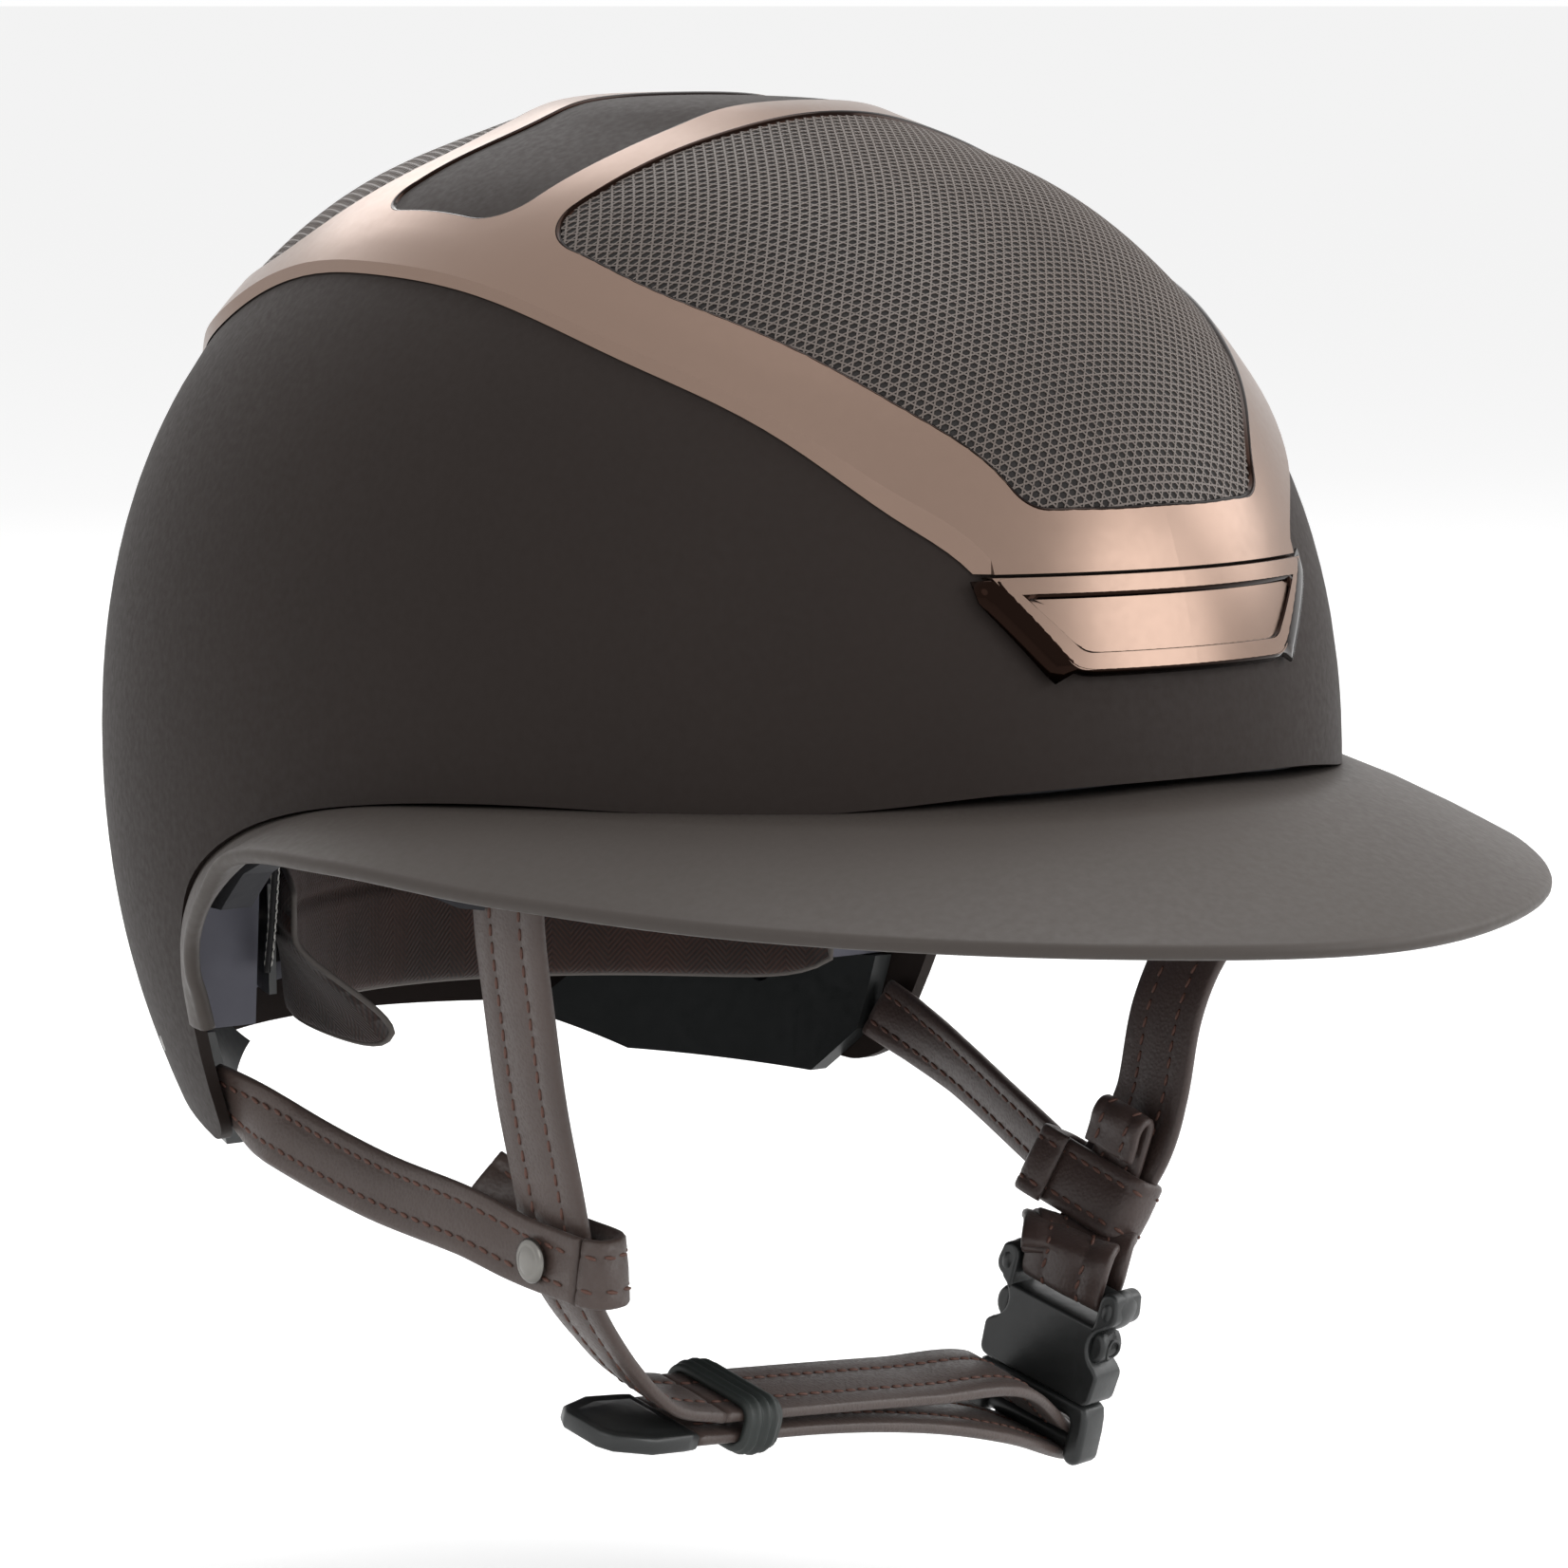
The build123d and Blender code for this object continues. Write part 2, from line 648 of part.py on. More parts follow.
with BuildPart() as snap_socket:
    with Locations(Plane(origin=(-73.9, stud_place.Y, stud_place.Z), z_dir=(1, 0, 0))):
        Cylinder(4.4, 1.8, align=(Align.CENTER, Align.CENTER, Align.MIN))
        Cylinder(stud_radius + stud_gap, 1.8, align=(Align.CENTER, Align.CENTER, Align.MIN), mode=Mode.SUBTRACT)
finish(snap_socket, "snap_socket")

# ---- chin strap: two strands through the keeper, turned round the buckle's bar ----
keeper_start = Vector(-45.6, -49.95, -119.25)
keeper_end = Vector(-14, -46.6, -121.8)
keeper_axis = (keeper_end - keeper_start).normalized()
strand_step = keeper_axis.cross(Vector(*chin_lean)).normalized() * (strap_thickness + strand_gap)
upper_route = [
    (tuple(keeper_start), chin_lean),
    (tuple(keeper_end), chin_lean),
    ((15, -42.5, -124.5), chin_lean),
    ((42, -38, -127.2), chin_lean),
]
lower_route = [
    (tuple(keeper_start - strand_step - keeper_axis * 6), chin_lean),
    (tuple(keeper_end - strand_step), chin_lean),
    ((15, -41, -130.5), chin_lean),
    ((39.2, -36, -136.2), chin_lean),
]
with BuildPart() as chin_strap_upper:
    add(strap(upper_route, strap_width, strap_thickness))
finish(chin_strap_upper, "chin_strap_upper")

with BuildPart() as chin_strap_lower:
    add(strap(lower_route, strap_width, strap_thickness))
finish(chin_strap_lower, "chin_strap_lower")

buckle_up = Vector(0.039, -0.309, 0.951).normalized()
buckle_across = Vector(0.2, -0.93, -0.31).normalized()
buckle_top = Vector(62.8, -38.8, -107.4)


def buckle_plane(down, side=0.0):
    """A plane across the buckle, some way down from its top and to one side."""
    return Plane(origin=buckle_top - buckle_up * down + buckle_across * side,
                 x_dir=buckle_across, z_dir=buckle_up)


bar_down = female_length + male_base_length + 7
bar_across = buckle_across * -1
buckle_face = buckle_across.cross(buckle_up)
bend_radius = bar_radius + strap_thickness / 2 + liner_gap


def bar_bend(down, angles):
    """Points of a strap's bend round one of the buckle's bars; 0 degrees is under the bar."""
    centre = buckle_plane(down).origin
    turns = [radians(angle) for angle in angles]
    return [centre + buckle_face * (bend_radius * sin(turn)) - buckle_up * (bend_radius * cos(turn))
            for turn in turns]


lower_bend = bar_bend(bar_down, (160, 180, 210, 245, 280, 320, 360, 381))
turn_route = [((44.1, -37.3, -128.4), chin_lean)]
turn_route += [(tuple(place), tuple(bar_across)) for place in lower_bend]
turn_route += [((41.4, -35.2, -137.2), chin_lean)]
with BuildPart() as chin_strap_turn:
    add(strap(turn_route, strap_width, strap_thickness))
finish(chin_strap_turn, "chin_strap_turn")

# ---- rubber keeper and the end tab ----
keeper_centre = keeper_start + keeper_axis * keeper_place - strand_step * 0.5
keeper_plane = Plane(origin=keeper_centre - keeper_axis * (keeper_length / 2), x_dir=chin_lean, z_dir=keeper_axis)
keeper_bore_height = 2 * strap_thickness + strand_gap + 2 * keeper_clearance
keeper_bore_width = strap_width + 2 * keeper_clearance
with BuildPart() as rubber_keeper:
    with BuildSketch(keeper_plane):
        RectangleRounded(keeper_bore_width + 2 * keeper_wall, keeper_bore_height + 2 * keeper_wall, keeper_wall)
        Rectangle(keeper_bore_width, keeper_bore_height, mode=Mode.SUBTRACT)
    extrude(amount=keeper_length)
finish(rubber_keeper, "rubber_keeper")

tab_root = Vector(*lower_route[0][0]) - keeper_axis * 0.4
tab_plane = Plane(origin=tab_root, x_dir=chin_lean, z_dir=keeper_axis * -1)
with BuildPart() as strap_end_tab:
    with BuildSketch(tab_plane):
        Rectangle(strap_width + 1, tab_thickness)
    with BuildSketch(tab_plane.offset(tab_length * 0.7)):
        Rectangle(strap_width, tab_thickness + 0.6)
    with BuildSketch(tab_plane.offset(tab_length)):
        Rectangle(strap_width - 5, tab_thickness)
    loft(ruled=True)
finish(strap_end_tab, "strap_end_tab")

# ---- side-release buckle ----
with BuildPart() as buckle_female:
    with BuildSketch(buckle_plane(female_length)):
        RectangleRounded(buckle_width, buckle_thickness, 2.5)
    extrude(amount=female_length)
    with BuildSketch(buckle_plane(female_length)):
        Rectangle(cavity_width, cavity_thickness)
    extrude(amount=female_length - ear_length - 0.7, mode=Mode.SUBTRACT)
    with Locations(buckle_plane(window_down, buckle_width / 2), buckle_plane(window_down, -buckle_width / 2)):
        Box(2 * window_depth, cavity_thickness, window_length, mode=Mode.SUBTRACT)
    with BuildSketch(buckle_plane(ear_length)):
        Rectangle(strap_width + 1.2, 2 * buckle_thickness)
    extrude(amount=2 * ear_length, mode=Mode.SUBTRACT)
    with Locations(Plane(origin=buckle_plane(upper_bar_down).origin, z_dir=buckle_across)):
        Cylinder(bar_radius, buckle_width - 4)
finish(buckle_female, "buckle_female")

male_top = female_length + buckle_gap
with BuildPart() as buckle_male:
    with BuildSketch(buckle_plane(male_top + male_base_length)):
        RectangleRounded(buckle_width - 1, 7, 2)
    extrude(amount=male_base_length)
    with BuildSketch(buckle_plane(male_top)):
        Rectangle(guide_width, prong_thickness - 0.4)
    extrude(amount=prong_length - 3)
    with Locations(buckle_plane(bar_down - 2, 12.4), buckle_plane(bar_down - 2, -12.4)):
        Box(2.2, 6, 10.2)
    with Locations(Plane(origin=buckle_plane(bar_down).origin, z_dir=buckle_across)):
        Cylinder(bar_radius, 24.4)
finish(buckle_male, "buckle_male")

prong_side = 8.4
for side, name in ((1, "prong_front"), (-1, "prong_rear")):
    with BuildPart() as prong:
        with Locations(buckle_plane(female_length - prong_length / 2, side * prong_side)):
            Box(prong_width, prong_thickness, prong_length)
        with Locations(buckle_plane(window_down, side * (prong_side + 2.4))):
            Box(5.2, prong_thickness, window_length - 2.4)
    finish(prong, name)

# ---- left side of the harness ----
left_front_route = [
    ((front_slot_x, front_slot_y, -front_slot_depth), fore_aft),
    ((94.3, -55.8, -26), fore_aft),
    ((89, -46, -43), fore_aft),
    ((84, -43, -57), fore_aft),
    ((80.9, -41.7, -74.5), fore_aft),
    ((78.9, -39, -84.2), fore_aft),
]
with BuildPart() as left_front_strap:
    add(strap(left_front_route, strap_width, strap_thickness))
finish(left_front_strap, "left_front_strap")

left_rear_route = [
    ((84.8, 47.2, -66.6), (0.35, 0.05, 0.93)),
    ((84.8, 36, -70.4), (0.15, 0.35, 1)),
    ((83, 20, -75.6), (0, 0.35, 1)),
    ((79, -4, -84.4), (0, 0.4, 1)),
    ((77, -16.6, -89.2), (0, 0.4, 1)),
]
with BuildPart() as left_rear_strap:
    add(strap(left_rear_route, rear_strap_width, strap_thickness))
finish(left_rear_strap, "left_rear_strap")

loop_plane = Plane(origin=(73.2, -32.5, -93.6), x_dir=(0.1, -0.95, -0.3), z_dir=(0.35, -0.27, 0.9))
with BuildPart() as left_keeper_loop:
    with BuildSketch(loop_plane.offset(-loop_height / 2)):
        RectangleRounded(loop_length, loop_thickness, 3)
    extrude(amount=loop_height)
finish(left_keeper_loop, "left_keeper_loop")

with BuildPart() as left_strap_end:
    with BuildSketch(loop_plane.offset(loop_height / 2 + strap_end_gap)):
        with Locations((4, -strap_end_out)):
            RectangleRounded(rear_strap_width, strap_end_thickness, 1.5)
    extrude(amount=strap_end_height)
finish(left_strap_end, "left_strap_end")

# short strap from the loop, down round the buckle's upper bar and back up
loop_foot = loop_plane.origin - loop_plane.z_dir * (loop_height / 2 + 1.6)
upper_bend = bar_bend(upper_bar_down, (-100, -60, -30, 0, 30, 60, 100))
leg_rise = buckle_up * 4
leg_spread = buckle_face * (strap_thickness / 2 + 0.3)
buckle_strap_route = ([loop_foot - leg_spread, upper_bend[0] + leg_rise] + upper_bend
                      + [upper_bend[-1] + leg_rise, loop_foot + leg_spread])
with BuildPart() as buckle_strap:
    add(strap([(tuple(place), tuple(buckle_across)) for place in buckle_strap_route], strap_width, strap_thickness))
finish(buckle_strap, "buckle_strap")
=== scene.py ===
import math

import bmesh
import bpy
from mathutils import Matrix, Vector
from mathutils.bvhtree import BVHTree
from mathutils.geometry import interpolate_bezier


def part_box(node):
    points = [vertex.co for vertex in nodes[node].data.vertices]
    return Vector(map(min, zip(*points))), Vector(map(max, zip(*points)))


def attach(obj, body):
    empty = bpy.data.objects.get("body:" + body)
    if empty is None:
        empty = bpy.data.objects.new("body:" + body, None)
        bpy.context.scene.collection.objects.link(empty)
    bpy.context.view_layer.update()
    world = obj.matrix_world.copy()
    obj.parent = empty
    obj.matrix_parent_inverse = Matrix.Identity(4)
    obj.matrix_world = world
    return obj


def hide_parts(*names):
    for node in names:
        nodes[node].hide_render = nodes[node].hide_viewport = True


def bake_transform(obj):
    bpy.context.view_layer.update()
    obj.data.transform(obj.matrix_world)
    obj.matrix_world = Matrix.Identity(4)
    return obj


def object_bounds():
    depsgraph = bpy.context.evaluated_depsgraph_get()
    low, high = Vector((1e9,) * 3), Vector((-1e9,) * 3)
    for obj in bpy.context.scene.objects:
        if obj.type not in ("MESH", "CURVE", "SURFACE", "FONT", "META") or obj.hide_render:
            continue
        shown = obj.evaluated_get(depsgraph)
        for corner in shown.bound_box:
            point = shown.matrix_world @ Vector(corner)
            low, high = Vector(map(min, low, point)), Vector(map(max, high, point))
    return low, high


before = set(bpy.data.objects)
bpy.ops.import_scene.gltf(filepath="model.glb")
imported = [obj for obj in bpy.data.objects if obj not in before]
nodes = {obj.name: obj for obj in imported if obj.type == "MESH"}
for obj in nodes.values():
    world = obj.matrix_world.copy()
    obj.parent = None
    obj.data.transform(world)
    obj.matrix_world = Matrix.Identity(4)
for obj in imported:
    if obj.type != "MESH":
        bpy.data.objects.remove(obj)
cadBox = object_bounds()
mm = 0.001
scene = bpy.context.scene
scene.view_settings.view_transform = "Standard"


def vec(x, y, z):  # a place given in millimetres
    return Vector((x, y, z)) * mm


# Camera, floor and light
view = dict(back=(-0.6387, -0.7611, 0.1132), right=(0.766, -0.6428, 0.0), up=(0.0728, 0.0867, 0.9936),
            distance=1.5, sideways=14.72, drop=8.94,  # metres, then millimetres
            lens=174.1, sensor=36, farClip=30)


def makeCamera():
    back, right, up = (Vector(view[key]).normalized() for key in ("back", "right", "up"))
    data = bpy.data.cameras.new("camera")
    data.lens = view["lens"]
    data.sensor_width = view["sensor"]
    data.clip_end = view["farClip"]
    camera = bpy.data.objects.new("camera", data)
    camera.location = back * view["distance"] + right * view["sideways"] * mm - up * view["drop"] * mm
    camera.rotation_euler = back.to_track_quat("Z", "Y").to_euler()
    scene.collection.objects.link(camera)
    scene.camera = camera


studio = dict(floorGap=0.03, floorSize=60, worldLight=0.62, floorLift=0.38)
lamps = [  # name, place, size, watts
    ("lampTop", (0.45, 0.1, 1.9), 1.4, 16),
    ("lampFront", (1.0, -1.75, 0.6), 1.4, 15),
    ("lampLeft", (-1.9, -0.9, 1.0), 1.4, 6),
    ("lampSide", (1.7, -0.6, 0.9), 1.0, 8),
    ("lampBack", (0.7, 1.8, 1.3), 1.2, 9),
]


# Plain and matt, lifted to white for the camera and for reflections, so that only the shadow shows.
def paleFloor():
    paint = Painter("floorPale")
    paint.shader.inputs["Base Color"].default_value = linear((235, 235, 235))
    paint.shader.inputs["Roughness"].default_value = 0.95
    paint.shader.inputs["Specular IOR Level"].default_value = 0.0
    paint.shader.inputs["Emission Color"].default_value = (1, 1, 1, 1)
    path = paint.node("ShaderNodeLightPath")
    seen = paint.node("ShaderNodeMath", operation="MAXIMUM")
    paint.link(path.outputs["Is Camera Ray"], seen.inputs[0])
    paint.link(path.outputs["Is Glossy Ray"], seen.inputs[1])
    paint.link(paint.span(seen.outputs[0], 0.0, studio["floorLift"]),
               paint.shader.inputs["Emission Strength"])
    return paint.made


def makeStudio():
    world = bpy.data.worlds.new("studio")
    scene.world = world
    world.use_nodes = True
    tree = world.node_tree
    tree.nodes.clear()
    out = tree.nodes.new("ShaderNodeOutputWorld")

    def backdrop(strength):
        node = tree.nodes.new("ShaderNodeBackground")
        node.inputs["Color"].default_value = (1, 1, 1, 1)
        node.inputs["Strength"].default_value = strength
        return node

    plain, white = backdrop(studio["worldLight"]), backdrop(1.0)
    path = tree.nodes.new("ShaderNodeLightPath")
    seen = path.outputs["Is Camera Ray"]
    for ray in ("Is Glossy Ray", "Is Transmission Ray"):
        either = tree.nodes.new("ShaderNodeMath")
        either.operation = "MAXIMUM"
        tree.links.new(seen, either.inputs[0])
        tree.links.new(path.outputs[ray], either.inputs[1])
        seen = either.outputs[0]
    mix = tree.nodes.new("ShaderNodeMixShader")
    tree.links.new(seen, mix.inputs[0])
    tree.links.new(plain.outputs[0], mix.inputs[1])
    tree.links.new(white.outputs[0], mix.inputs[2])
    tree.links.new(mix.outputs[0], out.inputs["Surface"])
    for name, place, size, watts in lamps:
        data = bpy.data.lights.new(name, "AREA")
        data.shape = "DISK"
        data.size = size
        data.energy = watts
        lamp = bpy.data.objects.new(name, data)
        lamp.location = place
        lamp.rotation_euler = Vector(place).to_track_quat("Z", "Y").to_euler()
        scene.collection.objects.link(lamp)
    bm = bmesh.new()
    bmesh.ops.create_grid(bm, x_segments=1, y_segments=1, size=studio["floorSize"] / 2)
    floor = keep(bm, "floor", [paleFloor()])
    floor.data.transform(Matrix.Translation((0, 0, cadBox[0][2] - studio["floorGap"])))


# Materials
def linear(rgb):  # screen colour 0-255 to linear
    parts = [c / 255 for c in rgb]
    return tuple([c / 12.92 if c < 0.04 else ((c + 0.055) / 1.055) ** 2.4 for c in parts] + [1])


class Painter:  # a small helper that wires one material
    def __init__(self, name):
        self.made = bpy.data.materials.new(name)
        self.made.use_nodes = True
        self.tree = self.made.node_tree
        self.shader = self.tree.nodes["Principled BSDF"]
        self.place = self.node("ShaderNodeTexCoord")

    def node(self, kind, **settings):
        made = self.tree.nodes.new(kind)
        for key, value in settings.items():
            if key in made.inputs:
                made.inputs[key].default_value = value
            else:
                setattr(made, key, value)
        return made

    def link(self, a, b):
        self.tree.links.new(a, b)

    def noise(self, scale, detail=2.0, coords="Object"):
        made = self.node("ShaderNodeTexNoise", Scale=scale, Detail=detail)
        self.link(self.place.outputs[coords], made.inputs["Vector"])
        return made.outputs["Fac"]

    def cells(self, scale, coords="Object"):
        made = self.node("ShaderNodeTexVoronoi", Scale=scale)
        self.link(self.place.outputs[coords], made.inputs["Vector"])
        return made.outputs["Distance"]

    def span(self, value, low, high, fromLow=0.0, fromHigh=1.0):
        made = self.node("ShaderNodeMapRange")
        made.inputs["From Min"].default_value = fromLow
        made.inputs["From Max"].default_value = fromHigh
        made.inputs["To Min"].default_value = low
        made.inputs["To Max"].default_value = high
        self.link(value, made.inputs["Value"])
        return made.outputs["Result"]

    def tint(self, value, dark, light):
        made = self.node("ShaderNodeMix", data_type="RGBA")
        made.inputs["A"].default_value = linear(dark)
        made.inputs["B"].default_value = linear(light)
        for socket in made.inputs:
            if socket.name == "A" and socket.type == "RGBA":
                socket.default_value = linear(dark)
            if socket.name == "B" and socket.type == "RGBA":
                socket.default_value = linear(light)
        self.link(value, made.inputs["Factor"])
        return [s for s in made.outputs if s.type == "RGBA"][0]

    def bump(self, value, height, strength=1.0, under=None):
        made = self.node("ShaderNodeBump", Strength=strength, Distance=height)
        self.link(value, made.inputs["Height"])
        if under:
            self.link(under, made.inputs["Normal"])
        return made.outputs["Normal"]

    def finish(self, colour=None, rough=None, normal=None):
        if colour:
            self.link(colour, self.shader.inputs["Base Color"])
        if rough:
            self.link(rough, self.shader.inputs["Roughness"])
        if normal:
            self.link(normal, self.shader.inputs["Normal"])
        return self.made


def material(name, rgb, rough=0.5, metal=0.0, grain=900, height=0.00002, spread=0.10, coat=0.0, sheen=0.0,
             gloss=0.5):
    paint = Painter(name)
    paint.shader.inputs["Specular IOR Level"].default_value = gloss
    dark = tuple(c * (1 - spread) for c in rgb)
    light = tuple(min(255, c * (1 + spread)) for c in rgb)
    tone = paint.tint(paint.noise(38, 3), dark, light)
    paint.shader.inputs["Metallic"].default_value = metal
    paint.shader.inputs["Coat Weight"].default_value = coat
    paint.shader.inputs["Coat Roughness"].default_value = 0.12
    paint.shader.inputs["Sheen Weight"].default_value = sheen
    paint.shader.inputs["Sheen Roughness"].default_value = 0.5
    drift = 0.05 if metal < 1 else 0.02
    roughness = paint.span(paint.noise(grain * 0.4, 3), rough - drift, rough + drift, 0.3, 0.7)
    return paint.finish(tone, roughness, paint.bump(paint.noise(grain, 2), height, 0.6))


def leather(name, rgb, rough=0.5):
    paint = Painter(name)
    dark = tuple(c * 0.86 for c in rgb)
    light = tuple(min(255, c * 1.12) for c in rgb)
    tone = paint.tint(paint.noise(60, 4), dark, light)
    pores = paint.span(paint.cells(1300), 0, 1, 0.0, 0.7)
    creases = paint.noise(420, 5)
    paint.shader.inputs["Sheen Weight"].default_value = 0.05
    normal = paint.bump(pores, 0.00006, 0.7, under=paint.bump(creases, 0.00012, 0.5))
    return paint.finish(tone, paint.span(pores, rough + 0.08, rough - 0.08), normal)


def weave(name, dark, light, threads=1500.0, columns=210.0,
          height=0.00016):  # herringbone on the piece's UV, in metres
    paint = Painter(name)
    split = paint.node("ShaderNodeSeparateXYZ")
    paint.link(paint.place.outputs["UV"], split.inputs[0])

    def maths(kind, a, b=None):
        made = paint.node("ShaderNodeMath", operation=kind)
        for socket, value in zip(made.inputs, (a, b)):
            if value is None:
                continue
            if isinstance(value, (int, float)):
                socket.default_value = value
            else:
                paint.link(value, socket)
        return made.outputs[0]

    zigzag = maths("PINGPONG", maths("MULTIPLY", split.outputs["X"], columns), 1.0)
    slant = maths("ADD", maths("MULTIPLY", split.outputs["Y"], threads),
                  maths("MULTIPLY", zigzag, threads / columns))
    ridge = maths("PINGPONG", slant, 1.0)
    cross = maths("PINGPONG", maths("MULTIPLY", split.outputs["X"], threads), 1.0)
    relief = maths("ADD", ridge, maths("MULTIPLY", cross, 0.35))
    patch = paint.span(paint.noise(45, 2), 0.0, 0.5, 0.35, 0.65)
    tone = paint.tint(maths("MULTIPLY", maths("ADD", ridge, patch), 0.66), dark, light)
    paint.shader.inputs["Roughness"].default_value = 0.85
    paint.shader.inputs["Sheen Weight"].default_value = 0.12
    return paint.finish(tone, None, paint.bump(relief, height, 0.8))


def keep(bm, name, materials, smooth=True, crease=None):
    mesh = bpy.data.meshes.new(name)
    bm.to_mesh(mesh)
    bm.free()
    made = bpy.data.objects.new(name, mesh)
    scene.collection.objects.link(made)
    for each in materials:
        mesh.materials.append(each)
    if smooth:
        mesh.shade_smooth()
    if crease:
        mesh.set_sharp_from_angle(angle=math.radians(crease))
    return made


def place(made, body, slot, *stands):  # the piece rides on a body and may stand for CAD nodes, which it hides
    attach(made, body)
    if stands:
        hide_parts(*stands)
    return made


shellPaint = material("shellSoftTouch", (40, 33, 30), rough=0.62, grain=1600, height=0.00002, spread=0.04,
                      gloss=0.16)
# the brim's cover is the shell's soft-touch material, lighter here partly for its own greyer tone and partly
# as painted light on its upward-facing top
brimPaint = material("brimSoftTouch", (70, 64, 60), rough=0.52, grain=1500, height=0.00002, spread=0.03,
                     gloss=0.3)
rosePaint = material("roseSatin", (136, 115, 103), rough=0.3, metal=1.0, grain=1400, height=0.0000006,
                     spread=0.015)
# near-black metal for the frame and plate edge strips: painted dark reflection in place of what the rose
# metal mirrors
chamferReflectionPaint = material("paintedDarkReflection", (30, 20, 16), rough=0.12, metal=1.0, grain=700, height=0.000001,
                        spread=0.05)
grillePaint = material("grilleThread", (94, 84, 78), rough=0.5, grain=2500, height=0.00004, spread=0.08)
# near-black sheet under the perforated grilles: painted shade seen through the holes
grilleHoleShadePaint = material("grilleHoleShade", (26, 23, 22), rough=0.9)
foamPaint = material("foamDark", (42, 42, 46), rough=0.85, grain=420, height=0.0002)
bandPaint = material("foamBand", (98, 98, 108), rough=0.7, grain=600, height=0.00006)
strapPaint = leather("strapLeather", (72, 59, 54))
# a darker copy of the same strap leather for the far left side: painted shade
strapShadedLeather = leather("strapLeatherShaded", (60, 46, 42))
threadPaint = material("strapThread", (92, 62, 52), rough=0.7, grain=3000, height=0.00005)
plasticPaint = material("blackPlastic", (38, 40, 40), rough=0.38, grain=1100, height=0.00004, spread=0.08)
rubberPaint = material("keeperRubber", (40, 45, 43), rough=0.55, grain=900, height=0.00005)
steelPaint = material("studMetal", (120, 118, 114), rough=0.3, metal=1.0, grain=900, height=0.00002)
fabricPaint = weave("liningTwill", (12, 10, 9), (60, 33, 23))
hookPaint = material("hookStrip", (22, 21, 22), rough=0.9, grain=1500, height=0.0002, sheen=0.1)
paleThread = material("paleThread", (190, 188, 182), rough=0.7, grain=3000, height=0.00004)
pipingPaint = material("liningPiping", (96, 90, 86), rough=0.7, grain=1800, height=0.00006)

cadFinish = dict(outer_shell=shellPaint, crown_panel=shellPaint, brim=brimPaint, rim_moulding=foamPaint,
                 vent_frame=rosePaint, front_plate=rosePaint, front_mesh=grillePaint, rear_mesh=grillePaint,
                 foam_liner=bandPaint, brow_pad=fabricPaint, side_pad_left=fabricPaint,
                 side_pad_right=fabricPaint,
                 crown_pad=fabricPaint, nape_cradle=fabricPaint, nape_trim_left=plasticPaint,
                 nape_trim_right=plasticPaint, cradle_yoke=plasticPaint, nape_rivets=steelPaint,
                 cradle_pins=steelPaint, snap_cap=steelPaint, snap_socket=steelPaint,
                 rubber_keeper=rubberPaint,
                 right_front_strap=strapPaint, right_rear_strap=strapPaint, snap_tail=strapPaint,
                 chin_strap_upper=strapPaint, chin_strap_lower=strapPaint, chin_strap_turn=strapPaint,
                 # the left-side straps, loop and ends take the darker copy of the leather as painted shade
                 left_front_strap=strapShadedLeather, left_rear_strap=strapShadedLeather, left_keeper_loop=strapShadedLeather,
                 left_strap_end=strapShadedLeather, buckle_strap=strapShadedLeather, buckle_female=plasticPaint,
                 buckle_male=plasticPaint, prong_front=plasticPaint, prong_rear=plasticPaint,
                 strap_end_tab=plasticPaint)
for nodeName, finish in cadFinish.items():
    nodes[nodeName].data.materials.clear()
    nodes[nodeName].data.materials.append(finish)
makeCamera()
makeStudio()
print("camera, studio and finishes are in place")


# Sweeping a section along a route
def routePoints(corners, step=1.5):  # a smooth line through (place, across) pairs given in mm
    spots = [vec(*spot) for spot, across in corners]
    widths = [Vector(across).normalized() for spot, across in corners]
    line, turns = [], []
    for i in range(len(spots) - 1):
        a, b = spots[i], spots[i + 1]
        before = spots[i - 1] if i else a - (b - a)
        after = spots[i + 2] if i + 2 < len(spots) else b + (b - a)
        span = (b - a).length
        reachA = (b - before).normalized() * span / 3
        reachB = (after - a).normalized() * span / 3
        count = max(2, int(span / (step * mm)) + 1)
        run = interpolate_bezier(a, a + reachA, b - reachB, b, count + 1)
        last = i == len(spots) - 2
        for k in range(count + (1 if last else 0)):
            line.append(run[k].copy())
            turns.append(widths[i].lerp(widths[i + 1], k / count).normalized())
    return stationsOf(line, turns)


def stationsOf(line, widths, closed=False):  # (place, across, out, along) at each point of a line
    stations = []
    count = len(line)
    for i in range(count):
        before = line[(i - 1) % count] if closed else line[max(i - 1, 0)]
        after = line[(i + 1) % count] if closed else line[min(i + 1, count - 1)]
        along = (after - before).normalized()
        across = (widths[i] - along * widths[i].dot(along)).normalized()
        stations.append((line[i], across, across.cross(along), along))
    return stations


